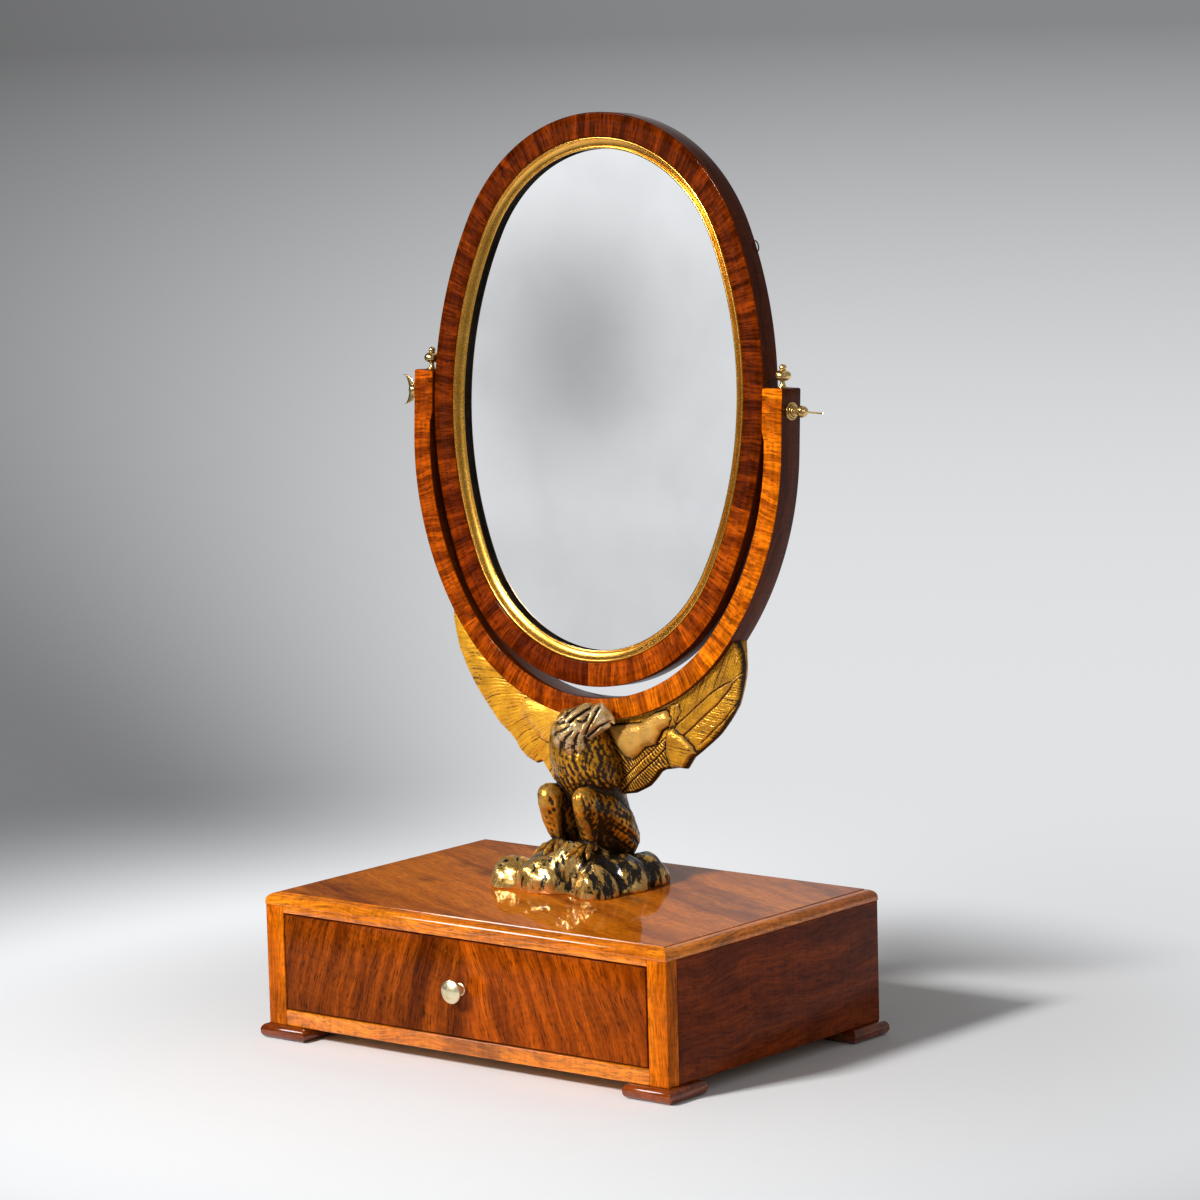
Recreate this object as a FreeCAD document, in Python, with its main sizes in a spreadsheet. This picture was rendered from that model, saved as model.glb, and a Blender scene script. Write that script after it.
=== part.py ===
import FreeCAD, Part
import math
import os
from types import SimpleNamespace

import Sketcher

# Table mirror: an oval glass that tilts between the arms of a yoke, carried by a carved eagle
# on a rock, on a case with one drawer. Millimetres, +Z up, the drawer faces -Y.

# Driving sizes
SIZES = {
    # case
    "case_width": 420.0,
    "case_depth": 278.0,
    "case_top_height": 122.0,
    "top_thickness": 10.0,
    "top_overhang": 0.6,
    "top_round": 7.5,
    "side_thickness": 12.0,
    "frame_depth": 14.0,
    "stile_width": 19.0,
    "top_rail_height": 5.5,
    "bottom_rail_height": 13.0,
    "back_thickness": 8.0,
    "bottom_thickness": 10.0,
    "runner_width": 22.0,
    "guide_height": 30.0,
    "stop_length": 14.0,
    "stop_height": 12.0,
    "stop_width": 20.0,
    "stop_gap": 1.0,
    # feet
    "foot_height": 12.0,
    "foot_side": 48.0,
    "foot_overhang": 5.8,
    "foot_round": 5.2,
    "foot_screw_radius": 1.8,
    "foot_screw_length": 15.0,
    "foot_screw_recess": 3.0,
    # drawer
    "drawer_gap": 1.2,
    "drawer_lift": 0.3,
    "drawer_front_thickness": 13.0,
    "veneer_thickness": 1.0,
    "drawer_wall": 8.0,
    "drawer_wall_height": 64.0,
    "drawer_length": 234.0,
    "drawer_bottom_thickness": 4.0,
    "drawer_bottom_raise": 5.0,
    # knob
    "knob_reach": 17.0,
    "knob_radius": 9.8,
    "knob_neck_radius": 3.6,
    "knob_flange_radius": 5.2,
    "knob_crown": 3.4,
    "knob_rim": 3.0,
    "knob_flange": 1.6,
    "knob_undercut_radius": 8.0,
    "knob_screw_radius": 2.0,
    "knob_screw_length": 22.0,
    "knob_screw_head_radius": 4.4,
    "knob_screw_head": 2.6,
    # pivot line and the two tilts
    "pivot_height": 519.0,
    "pivot_setback": 59.0,
    "yoke_lean": 3.35,
    "mirror_tilt": 4.4,
    # yoke
    "yoke_half_width": 192.9,
    "yoke_half_height": 226.0,
    "yoke_end_radius": 175.8,
    "yoke_bar": 17.6,
    "yoke_straight": 35.0,
    "yoke_depth": 25.5,
    "yoke_joint_drop": 62.0,
    "arm_rise": 18.0,
    "arm_round": 1.5,
    "pad_thickness": 2.4,
    "pad_drop": 16.0,
    "pad_taper": 9.0,
    # oval frame
    "ring_half_width": 172.5,
    "ring_half_height": 234.1,
    "ring_end_radius": 154.5,
    "ring_bar": 20.0,
    "ring_depth": 21.0,
    "ring_joint_drop": 82.0,
    # gilt slip, glass and back
    "slip_sink": 0.6,
    "slip_depth": 8.6,
    "slip_width": 9.6,
    "slip_fall": 6.6,
    "slip_lip": 0.8,
    "glass_inset": 1.0,
    "glass_thickness": 3.0,
    "board_thickness": 5.0,
    "clip_wire_radius": 0.8,
    "clip_reach": 16.0,
    "clip_sink": 6.0,
    "clip_angle": 23.0,
    # pivot screws
    "screw_radius": 2.5,
    "screw_clearance": 0.05,
    "arm_hole_clearance": 0.3,
    "screw_engagement": 9.0,
    "bush_radius": 4.0,
    "bush_length": 11.0,
    "rosette_radius": 7.4,
    "rosette_height": 4.2,
    "rosette_rim": 1.2,
    "rosette_step_radius": 6.1,
    "rosette_step_height": 2.2,
    "rosette_quirk": 0.5,
    "rosette_face_radius": 4.6,
    "rosette_bead_radius": 1.6,
    "rosette_dome_radius": 2.4,
    "hub_gap": 0.3,
    "hub_neck_length": 2.6,
    "hub_neck_radius": 3.5,
    "hub_radius": 4.8,
    "hub_sink": 1.0,
    "wing_span": 25.0,
    "wing_reach": 13.0,
    "wing_waist": 6.5,
    "wing_thickness": 1.7,
    "wing_root": 2.6,
    "wing_tip": 1.6,
    "wing_side_radius": 16.0,
    "wing_waist_radius": 22.0,
    "left_wing_spin": 0.0,
    "right_wing_spin": 80.0,
    # finials
    "finial_foot_radius": 4.3,
    "finial_foot": 1.0,
    "finial_neck_curve": 9.0,
    "finial_neck_radius": 1.9,
    "finial_neck_height": 5.6,
    "finial_ball_radius": 6.6,
    "finial_ball_height": 8.4,
    "finial_bead_radius": 2.9,
    "finial_bead_lift": 2.0,
    "finial_spigot_radius": 2.0,
    "finial_spigot_length": 9.0,
    # eagle's wings, in the yoke's leaning plane, measured from the pivot line
    "feather_setback": 6.5,
    "feather_thickness": 20.0,
    "feather_tip_drop": 187.0,
    "feather_tip_x": 150.0,
    "feather_tip_z": 205.0,
    "feather_sweep_radius": 130.0,
    "feather_low_x": 88.0,
    "feather_low_z": 288.0,
    "feather_mid_x": 66.0,
    "feather_mid_z": 300.0,
    "feather_root_x": 33.0,
    "feather_root_z": 319.0,
    "feather_lobe_radius": 15.0,
    "feather_hem_radius": 26.0,
    "feather_inner_x": 12.0,
    # dowels and screws of the carving
    "dowel_radius": 4.0,
    "dowel_length": 24.0,
    "dowel_spread": 66.0,
    "rock_screw_radius": 2.5,
    "rock_screw_length": 34.0,
    "rock_screw_spread": 30.0,
    "rock_screw_head_radius": 5.0,
    "rock_screw_head": 3.0,
    # rock
    "rock_x": -4.0,
    "rock_y": 18.0,
    "rock_span": 110.0,
    # eagle's head and toes, heights above the case top
    "head_x": 8.0,
    "head_y": 9.0,
    "head_z": 139.0,
    "head_heading": 24.0,
    "head_pitch": 12.0,
    "toe_x": 17.0,
    "toe_y": 6.0,
    "toe_z": 37.0,
    "toe_length": 21.0,
    "toe_root_radius": 4.2,
    "toe_tip_radius": 2.2,
    "toe_spread": 28.0,
    "toe_dip": 6.0,
}

# Oval sections of the carved eagle, heights above the case top. Trunk and leg: centre x, y, z and
# half-lengths along X and Y. Head: distance along the beak's line, rise, half-width and half-height.
# Boulders of the rock: centre x, y, half-length, half-width, height and heading; the first is the core.
SECTION_FIELDS = {
    "trunk": ("x", "y", "z", "half_x", "half_y"),
    "leg": ("x", "y", "z", "half_x", "half_y"),
    "head": ("along", "rise", "half_width", "half_height"),
    "boulder": ("x", "y", "half_length", "half_width", "height", "heading"),
}
SECTIONS = {
    "trunk": (
        (0.0, 44.0, 24.0, 25.0, 18.0),
        (0.0, 43.0, 50.0, 28.0, 22.0),
        (0.0, 36.0, 72.0, 28.5, 25.0),
        (1.0, 28.0, 90.0, 30.0, 27.0),
        (2.0, 21.0, 108.0, 29.5, 25.5),
        (3.0, 15.0, 124.0, 26.5, 22.5),
        (2.0, 11.0, 138.0, 21.0, 15.0),
    ),
    "leg": (
        (17.0, 9.0, 33.0, 6.5, 9.0),
        (18.0, 19.0, 45.0, 11.5, 22.0),
        (19.0, 21.0, 58.0, 14.5, 27.0),
        (19.0, 13.0, 72.0, 14.0, 21.0),
        (18.5, 5.0, 83.0, 10.0, 12.0),
        (18.5, 3.0, 87.0, 5.0, 6.0),
    ),
    "head": (
        (-27.0, -7.0, 5.0, 7.0),
        (-19.0, -2.5, 12.0, 13.5),
        (-6.0, 0.0, 14.0, 15.0),
        (7.0, 1.5, 11.0, 13.5),
        (16.0, 3.5, 7.0, 10.5),
        (24.0, 2.0, 4.5, 7.5),
        (29.0, -1.0, 2.2, 4.0),
    ),
    "boulder": (
        (-6.0, 22.0, 50.0, 44.0, 37.0, 0.0),
        (-48.0, -7.0, 25.0, 17.0, 27.0, 24.0),
        (-18.0, -6.0, 28.0, 23.0, 31.0, 8.0),
        (31.0, -4.0, 26.0, 19.0, 29.0, -35.0),
        (38.0, 27.0, 20.0, 17.0, 32.0, 5.0),
        (34.0, 52.0, 23.0, 19.0, 29.0, 40.0),
        (-2.0, 61.0, 26.0, 20.0, 28.0, -8.0),
        (-40.0, 42.0, 28.0, 23.0, 26.0, -35.0),
    ),
}

SIDES = (("left", -1), ("right", 1))

X_AXIS = FreeCAD.Vector(1, 0, 0)
Y_AXIS = FreeCAD.Vector(0, 1, 0)
Z_AXIS = FreeCAD.Vector(0, 0, 1)

doc = FreeCAD.newDocument("table_mirror")
sheet = doc.addObject("Spreadsheet::Sheet", "dims")
nodes = {}


class Dim:
    """A size with its present number and the sheet expression that keeps it current."""

    def __init__(self, value, text):
        self.value = value
        self.text = text

    @staticmethod
    def of(other):
        return other if isinstance(other, Dim) else Dim(float(other), repr(float(other)))

    def __add__(self, other):
        other = Dim.of(other)
        return Dim(self.value + other.value, f"({self.text} + {other.text})")

    def __sub__(self, other):
        other = Dim.of(other)
        return Dim(self.value - other.value, f"({self.text} - {other.text})")

    def __mul__(self, other):
        other = Dim.of(other)
        return Dim(self.value * other.value, f"({self.text} * {other.text})")

    def __truediv__(self, other):
        other = Dim.of(other)
        return Dim(self.value / other.value, f"({self.text} / {other.text})")

    def __rsub__(self, other):
        return Dim.of(other) - self

    def __neg__(self):
        return Dim(-self.value, f"(-{self.text})")

    __radd__ = __add__
    __rmul__ = __mul__


def root(dim):
    """Square root of a size."""
    return Dim(math.sqrt(dim.value), f"sqrt({dim.text})")


def sine_cosine(angle):
    """Sine and cosine of an angle in degrees."""
    turn = math.radians(angle.value)
    return Dim(math.sin(turn), f"sin({angle.text})"), Dim(math.cos(turn), f"cos({angle.text})")


def fill_sheet():
    """Write every driving size to the sheet and return the sizes by name."""
    values = dict(SIZES)
    for form, sections in SECTIONS.items():
        for number, section in enumerate(sections, start=1):
            names = [f"{form}_{number}_{field}" for field in SECTION_FIELDS[form]]
            values.update(zip(names, section))
    for row, (alias, value) in enumerate(values.items(), start=1):
        sheet.set(f"A{row}", alias)
        sheet.set(f"B{row}", str(value))
        sheet.setAlias(f"B{row}", alias)
    doc.recompute()
    return SimpleNamespace(**{alias: Dim(value, f"dims.{alias}") for alias, value in values.items()})


def bind(item, prop, dim):
    """Tie a property of a document object to a size."""
    item.setExpression(prop, Dim.of(dim).text)


def place(item, position, rotation=None):
    """Set an object's place from three sizes, with an optional fixed rotation."""
    item.Placement = FreeCAD.Placement(FreeCAD.Vector(), rotation or FreeCAD.Rotation())
    for axis, dim in zip("xyz", position):
        bind(item, f"Placement.Base.{axis}", dim)


def lean(item, angle):
    """Hang a piece, drawn about the pivot line, on that line and tilt its top backwards."""
    item.Placement = FreeCAD.Placement(FreeCAD.Vector(), FreeCAD.Rotation(-X_AXIS, angle.value))
    bind(item, "Placement.Base.y", PIVOT_Y)
    bind(item, "Placement.Base.z", d.pivot_height)
    bind(item, "Placement.Rotation.Angle", angle)


def lean_point(local, angle):
    """Place of a point given about the pivot line, once the piece is tilted back by angle."""
    sine, cosine = sine_cosine(angle)
    x, y, z = (Dim.of(dim) for dim in local)
    return x, PIVOT_Y + y * cosine + z * sine, d.pivot_height - y * sine + z * cosine


def node(name, item):
    """Register a finished object as the piece called name."""
    item.Label = name
    nodes[name] = item
    return item


def board(name, x, y, z):
    """Rectangular board between pairs of sizes along X, Y and Z."""
    item = doc.addObject("Part::Box", name)
    for prop, (low, high) in zip(("Length", "Width", "Height"), (x, y, z)):
        bind(item, prop, Dim.of(high) - low)
    place(item, (x[0], y[0], z[0]))
    return item


def cylinder(name, radius, length, position, rotation=None):
    """Round bar from position along the turned Z axis."""
    item = doc.addObject("Part::Cylinder", name)
    bind(item, "Radius", radius)
    bind(item, "Height", length)
    place(item, position, rotation)
    return item


def fuse(name, items):
    """One solid from several touching ones."""
    item = doc.addObject("Part::MultiFuse", name)
    item.Shapes = items
    return item


def cut(name, base, tools):
    """Base without the tools."""
    item = doc.addObject("Part::Cut", name)
    item.Base = base
    item.Tool = tools[0] if len(tools) == 1 else group(f"{name}_tools", tools)
    return item


def group(name, items):
    """Several separate solids as one object."""
    item = doc.addObject("Part::Compound", name)
    item.Links = items
    return item


def origin_plane(body, role):
    """One of a body's own origin planes."""
    return next(plane for plane in body.Origin.OriginFeatures if plane.Role == role)


def arc_between(start, end, radius, turn):
    """Minor arc from start to end; turn is 1 anticlockwise and -1 clockwise."""
    chord = end - start
    height = math.sqrt(radius ** 2 - (chord.Length / 2) ** 2)
    side = FreeCAD.Vector(-chord.y, chord.x, 0) / chord.Length
    centre = (start + end) / 2 + side * height * turn
    first, last = (start, end) if turn > 0 else (end, start)
    angles = [math.atan2(point.y - centre.y, point.x - centre.x) for point in (first, last)]
    return Part.ArcOfCircle(Part.Circle(centre, Z_AXIS, radius), *angles)


def sketch(body, name, points, arcs=(), role="XZ_Plane", offset=0):
    """Closed outline through points, with every corner and radius tied to the sheet.

    arcs maps an edge number to its radius and turn; the other edges are straight.
    """
    arcs = dict(arcs)
    item = body.newObject("Sketcher::SketchObject", name)
    item.AttachmentSupport = [(origin_plane(body, role), "")]
    item.MapMode = "FlatFace"
    bind(item, "AttachmentOffset.Base.z", offset)
    corners = [FreeCAD.Vector(Dim.of(x).value, Dim.of(y).value, 0) for x, y in points]
    starts = []
    for edge, corner in enumerate(corners):
        following = corners[(edge + 1) % len(corners)]
        if edge in arcs:
            radius, turn = arcs[edge]
            item.addGeometry(arc_between(corner, following, radius.value, turn), False)
            starts.append(1 if turn > 0 else 2)
        else:
            item.addGeometry(Part.LineSegment(corner, following), False)
            starts.append(1)
    for edge, (x, y) in enumerate(points):
        before = edge - 1 if edge else len(points) - 1
        item.addConstraint(Sketcher.Constraint("Coincident", before, 3 - starts[before], edge, starts[edge]))
        for kind, dim, axis in (("DistanceX", Dim.of(x), -2), ("DistanceY", Dim.of(y), -1)):
            if abs(dim.value) < 1e-9:
                item.addConstraint(Sketcher.Constraint("PointOnObject", edge, starts[edge], axis))
                continue
            index = item.addConstraint(Sketcher.Constraint(kind, edge, starts[edge], dim.value))
            bind(item, f"Constraints[{index}]", dim)
        if edge in arcs:
            index = item.addConstraint(Sketcher.Constraint("Radius", edge, arcs[edge][0].value))
            bind(item, f"Constraints[{index}]", arcs[edge][0])
    return item


def plate(name, points, arcs=(), front=0, back=0):
    """Body with an outline in X and Z, solid between the depths front and back along Y."""
    body = doc.addObject("PartDesign::Body", name)
    outline = sketch(body, f"{name}_outline", points, arcs, offset=-Dim.of(back))
    pad = body.newObject("PartDesign::Pad", f"{name}_pad")
    pad.Profile = outline
    bind(pad, "Length", Dim.of(back) - front)
    return body


def turned(name, points, arcs=()):
    """Body turned about Z from a half outline in radius and height."""
    body = doc.addObject("PartDesign::Body", name)
    outline = sketch(body, f"{name}_profile", points, arcs)
    turn = body.newObject("PartDesign::Revolution", f"{name}_turn")
    turn.Profile = outline
    turn.ReferenceAxis = (outline, ["V_Axis"])
    return body


def soften(body, radius, test, name):
    """Round the edges of a body's last feature that pass the test."""
    doc.recompute()
    base = body.Tip
    edges = [f"Edge{i}" for i, edge in enumerate(base.Shape.Edges, start=1) if test(edge)]
    fillet = body.newObject("PartDesign::Fillet", f"{name}_round")
    fillet.Base = (base, edges)
    bind(fillet, "Radius", radius)
    return fillet


class Oval:
    """Four-arc oval about the pivot: two side arcs and two end arcs, all tangent."""

    def __init__(self, half_width, half_height, end_radius):
        self.half_width = half_width
        self.end_radius = end_radius
        self.end_centre = half_height - end_radius
        self.side_radius = (
            half_width * half_width + half_height * half_height - 2 * half_height * end_radius
        ) / (2 * (half_width - end_radius))
        self.spread = self.side_radius - end_radius

    def joint(self, inset=0):
        """Where a side arc meets an end arc, right and above the centre."""
        x = (self.side_radius - self.half_width) * (self.end_radius - inset) / self.spread
        return x, self.end_centre * (self.side_radius - inset) / self.spread

    def side_x(self, drop, inset=0):
        """Half width at a drop below the centre, on the side arcs."""
        radius = self.side_radius - inset
        return root(radius * radius - drop * drop) - (self.side_radius - self.half_width)

    def whole(self, inset=0):
        """Corners and arcs of the whole oval."""
        x, z = self.joint(inset)
        side, end = (self.side_radius - inset, 1), (self.end_radius - inset, 1)
        return [(x, -z), (x, z), (-x, z), (-x, -z)], {0: side, 1: end, 2: side, 3: end}


d = fill_sheet()
CASE_Y = (d.knob_reach - d.foot_overhang) / 2
FRONT = CASE_Y - d.case_depth / 2
BACK = CASE_Y + d.case_depth / 2
HALF = d.case_width / 2
CASE_TOP = d.case_top_height - d.top_thickness
FRAME_BACK = FRONT + d.frame_depth
OPENING = HALF - d.stile_width
SILL = d.foot_height + d.bottom_rail_height
HEAD = CASE_TOP - d.top_rail_height
FLOOR = d.foot_height + d.bottom_thickness
PANEL = BACK - d.back_thickness
INSIDE = HALF - d.side_thickness
PIVOT_Y = CASE_Y + d.pivot_setback
YOKE = Oval(d.yoke_half_width, d.yoke_half_height, d.yoke_end_radius)
RING = Oval(d.ring_half_width, d.ring_half_height, d.ring_end_radius)
RING_FRONT = -d.ring_depth / 2
SLIP_FRONT = RING_FRONT + d.slip_sink
GLASS_FRONT = SLIP_FRONT + d.slip_depth
BOARD_FRONT = GLASS_FRONT + d.glass_thickness


def both(low, high):
    """The left and right span of a pair that mirrors in X."""
    return ("left", (-high, -low), -1), ("right", (low, high), 1)


# Case
def build_case():
    """Case of one drawer: top, sides, back, bottom and the framed front."""
    top = doc.addObject("PartDesign::Body", "case_top_board")
    half_x, half_y = HALF + d.top_overhang, d.case_depth / 2 + d.top_overhang
    corners = [(-half_x, -half_y), (half_x, -half_y), (half_x, half_y), (-half_x, half_y)]
    pad = top.newObject("PartDesign::Pad", "case_top_pad")
    pad.Profile = sketch(top, "case_top_outline", corners, role="XY_Plane")
    bind(pad, "Length", d.top_thickness)
    at_top = d.top_thickness.value - 0.1
    soften(top, d.top_round, lambda edge: edge.BoundBox.ZMin > at_top, "case_top")
    place(top, (0, CASE_Y, CASE_TOP))
    screw_holes = [
        cylinder(f"case_top_hole_{side}", d.rock_screw_radius, d.top_thickness,
                 (d.rock_x + d.rock_screw_spread * sign, CASE_Y + d.rock_y, CASE_TOP))
        for side, sign in SIDES
    ]
    node("case_top", cut("case_top_bored", top, screw_holes))
    upright, framing = (d.foot_height, CASE_TOP), (FRONT, FRAME_BACK)
    for side, span, _ in both(INSIDE, HALF):
        node(f"case_{side}_side", board(f"{side}_side", span, (FRAME_BACK, BACK), upright))
    for side, span, _ in both(OPENING, HALF):
        node(f"front_{side}_stile", board(f"{side}_stile", span, framing, upright))
    node("front_top_rail", board("top_rail", (-OPENING, OPENING), framing, (HEAD, CASE_TOP)))
    node("front_bottom_rail", board("bottom_rail", (-OPENING, OPENING), framing, (d.foot_height, SILL)))
    node("case_back", board("back_panel", (-INSIDE, INSIDE), (PANEL, BACK), upright))
    floor = board("bottom_board", (-INSIDE, INSIDE), (FRAME_BACK, PANEL), (d.foot_height, FLOOR))
    pilot_depth = d.foot_screw_length + d.foot_screw_recess - d.foot_height
    pilots = [
        cylinder(f"{name}_pilot", d.foot_screw_radius, pilot_depth, (x, y, d.foot_height))
        for name, x, y in foot_screw_places()
    ]
    node("case_bottom", cut("bottom_board_bored", floor, pilots))
    for side, sign in SIDES:
        outer, inner, ledge = INSIDE * sign, OPENING * sign, (OPENING - d.runner_width) * sign
        points = [(outer, FLOOR), (ledge, FLOOR), (ledge, SILL), (inner, SILL),
                  (inner, FLOOR + d.guide_height), (outer, FLOOR + d.guide_height)]
        node(f"{side}_drawer_runner", plate(f"{side}_runner", points, front=FRAME_BACK, back=PANEL))
    stop_y = FRAME_BACK + d.drawer_length + d.stop_gap
    near, far = (HALF - d.stop_width) / 2, (HALF + d.stop_width) / 2
    node("drawer_stops", group("stops", [
        board(f"stop_{side}", span, (stop_y, stop_y + d.stop_length), (FLOOR, FLOOR + d.stop_height))
        for side, span, _ in both(near, far)
    ]))


def foot_places():
    """Name and centre of each foot."""
    reach_x = HALF + d.foot_overhang - d.foot_side / 2
    reach_y = d.case_depth / 2 + d.foot_overhang - d.foot_side / 2
    return [(f"{end}_{side}", reach_x * sx, CASE_Y + reach_y * sy)
            for end, sy in (("front", -1), ("back", 1)) for side, sx in SIDES]


def foot_screw_places():
    """Name and place of the screw through each foot, set inwards to meet the bottom board."""
    inward = d.foot_side / 4
    places = []
    for name, x, y in foot_places():
        sign_x = -1 if name.endswith("left") else 1
        sign_y = -1 if name.startswith("front") else 1
        places.append((name, x - inward * sign_x, y - inward * sign_y))
    return places


def build_feet():
    """Four flat pads with half-round edges, each held by a sunk screw."""
    screws = []
    half = d.foot_side / 2
    corners = [(-half, -half), (half, -half), (half, half), (-half, half)]
    head_radius, head_height = 2 * d.foot_screw_radius, d.foot_screw_radius
    for (name, x, y), (_, screw_x, screw_y) in zip(foot_places(), foot_screw_places()):
        body = doc.addObject("PartDesign::Body", f"{name}_pad")
        pad = body.newObject("PartDesign::Pad", f"{name}_block")
        pad.Profile = sketch(body, f"{name}_outline", corners, role="XY_Plane")
        bind(pad, "Length", d.foot_height)
        soften(body, d.foot_round, lambda edge: edge.BoundBox.ZLength < 0.01, f"{name}_edge")
        place(body, (x, y, 0))
        mouth, seat = (screw_x, screw_y, 0), (screw_x, screw_y, d.foot_screw_recess)
        hole = cylinder(f"{name}_hole", d.foot_screw_radius, d.foot_height, mouth)
        recess = cylinder(f"{name}_recess", head_radius, d.foot_screw_recess + head_height, mouth)
        node(f"{name}_foot", cut(f"{name}_foot_bored", body, [hole, recess]))
        shank = cylinder(f"{name}_screw_shank", d.foot_screw_radius, d.foot_screw_length, seat)
        head = cylinder(f"{name}_screw_head", head_radius, head_height, seat)
        screws.append(fuse(f"{name}_screw", [shank, head]))
    node("foot_screws", group("foot_screw_set", screws))


# Drawer
def build_drawer():
    """Drawer with a book-matched veneered front, and its knob."""
    reach = OPENING - d.drawer_gap
    low, high = SILL + d.drawer_gap, HEAD - d.drawer_gap
    face = FRONT + d.veneer_thickness
    knob_z = (low + high) / 2
    rear = FRAME_BACK + d.drawer_length
    along = FreeCAD.Rotation(X_AXIS, 90)
    blank = board("drawer_front_blank", (-reach, reach), (face, face + d.drawer_front_thickness), (low, high))
    hole = cylinder("drawer_front_hole", d.knob_screw_radius, d.drawer_front_thickness,
                    (0, face + d.drawer_front_thickness, knob_z), along)
    node("drawer_front", cut("drawer_front_bored", blank, [hole]))
    for side, span, _ in both(Dim.of(0), reach):
        leaf = board(f"{side}_leaf", span, (FRONT, face), (low, high))
        hole = cylinder(f"{side}_leaf_hole", d.knob_screw_radius, d.veneer_thickness,
                        (0, face, knob_z), along)
        node(f"drawer_veneer_{side}", cut(f"{side}_leaf_bored", leaf, [hole]))
    start = face + d.drawer_front_thickness
    foot = SILL + d.drawer_lift
    wall_top = foot + d.drawer_wall_height
    wall = reach - d.drawer_wall
    for side, span, _ in both(wall, reach):
        node(f"drawer_{side}_side", board(f"drawer_{side}", span, (start, rear), (foot, wall_top)))
    node("drawer_back", board("drawer_rear", (-wall, wall), (rear - d.drawer_wall, rear), (foot, wall_top)))
    base = foot + d.drawer_bottom_raise
    node("drawer_bottom", board("drawer_floor", (-wall, wall), (start, rear - d.drawer_wall),
                                (base, base + d.drawer_bottom_thickness)))
    build_knob(knob_z, start, along)


def build_knob(height, inside, along):
    """Mushroom knob with a screw from inside the drawer."""
    rim_end = d.knob_reach - d.knob_crown
    neck_end = rim_end - d.knob_rim
    crown_radius = (d.knob_radius * d.knob_radius + d.knob_crown * d.knob_crown) / (2 * d.knob_crown)
    points = [(0, 0), (d.knob_flange_radius, 0), (d.knob_flange_radius, d.knob_flange),
              (d.knob_neck_radius, 2 * d.knob_flange), (d.knob_neck_radius, neck_end - d.knob_rim),
              (d.knob_radius, neck_end), (d.knob_radius, rim_end), (0, d.knob_reach)]
    arcs = {4: (d.knob_undercut_radius, -1), 6: (crown_radius, 1)}
    blank = turned("knob_blank", points, arcs)
    place(blank, (0, FRONT, height), along)
    grip = d.knob_screw_length - d.drawer_front_thickness - d.veneer_thickness
    socket = cylinder("knob_socket", d.knob_screw_radius, grip, (0, FRONT, height), along)
    node("drawer_knob", cut("knob_bored", blank, [socket]))
    shank = cylinder("knob_screw_shank", d.knob_screw_radius, d.knob_screw_length, (0, inside, height), along)
    head = cylinder("knob_screw_top", d.knob_screw_head_radius, d.knob_screw_head,
                    (0, inside + d.knob_screw_head, height), along)
    node("knob_screw", fuse("knob_screw_whole", [shank, head]))


# Yoke
def across(sign):
    """Rotation that lays a Z-drawn piece along X, away from the middle."""
    return FreeCAD.Rotation(Y_AXIS, 90 * sign)


def leaning_cylinder(name, radius, length, local, angle, rotation=None):
    """Round bar of a tilted piece, from a point given about the pivot line."""
    tilt = FreeCAD.Rotation(-X_AXIS, angle.value)
    turn = tilt.multiply(rotation) if rotation else tilt
    return cylinder(name, radius, length, lean_point(local, angle), turn)


def build_yoke():
    """Two arms and a bow on one oval, bored for the pivot screws and the finials."""
    bar = d.yoke_bar
    outer, inner = d.yoke_half_width, d.yoke_half_width - bar
    bend = -d.yoke_straight
    joint = bend - d.yoke_joint_drop
    pad = inner - d.pad_thickness
    front, back = -d.yoke_depth / 2, d.yoke_depth / 2
    side, side_in = YOKE.side_radius, YOKE.side_radius - bar
    for name, sign in SIDES:
        out_x, in_x = YOKE.side_x(d.yoke_joint_drop), YOKE.side_x(d.yoke_joint_drop, bar)
        points = [(outer, d.arm_rise), (outer, bend), (out_x, joint), (in_x, joint), (inner, bend),
                  (inner, -(d.pad_drop + d.pad_taper)), (pad, -d.pad_drop), (pad, d.arm_rise)]
        points = [(x * sign, z) for x, z in points]
        arm = plate(f"{name}_arm", points, {1: (side, -sign), 3: (side_in, sign)}, front, back)
        soften(arm, d.arm_round, lambda edge: edge.BoundBox.ZMin > d.arm_rise.value - 0.1, f"{name}_arm_top")
        lean(arm, d.yoke_lean)
        bore = cylinder(f"{name}_arm_bore", d.screw_radius + d.arm_hole_clearance, bar + d.pad_thickness,
                        (pad * sign, PIVOT_Y, d.pivot_height), across(sign))
        spigot = leaning_cylinder(f"{name}_spigot_hole", d.finial_spigot_radius, d.finial_spigot_length,
                                  ((outer - bar / 2) * sign, 0, d.arm_rise - d.finial_spigot_length),
                                  d.yoke_lean)
        node(f"yoke_{name}_arm", cut(f"{name}_arm_bored", arm, [bore, spigot]))
    corner, corner_in = YOKE.joint(), YOKE.joint(bar)
    half = [(YOKE.side_x(d.yoke_joint_drop), joint), (corner[0], bend - corner[1])]
    half_in = [(YOKE.side_x(d.yoke_joint_drop, bar), joint), (corner_in[0], bend - corner_in[1])]
    points = [(-x, z) for x, z in half] + half[::-1] + half_in + [(-x, z) for x, z in half_in[::-1]]
    end, end_in = d.yoke_end_radius, d.yoke_end_radius - bar
    arcs = {0: (side, 1), 1: (end, 1), 2: (side, 1), 4: (side_in, -1), 5: (end_in, -1), 6: (side_in, -1)}
    bow = plate("bow", points, arcs, front, back)
    lean(bow, d.yoke_lean)
    node("yoke_bow", cut("bow_bored", bow, dowels("bow_socket")))


def yoke_underside(x):
    """Height of the yoke's lower edge at a distance x from the middle, below the pivot line."""
    radius = d.yoke_end_radius
    centre = -(d.yoke_straight + YOKE.end_centre)
    return centre - root(radius * radius - x * x)


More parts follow.
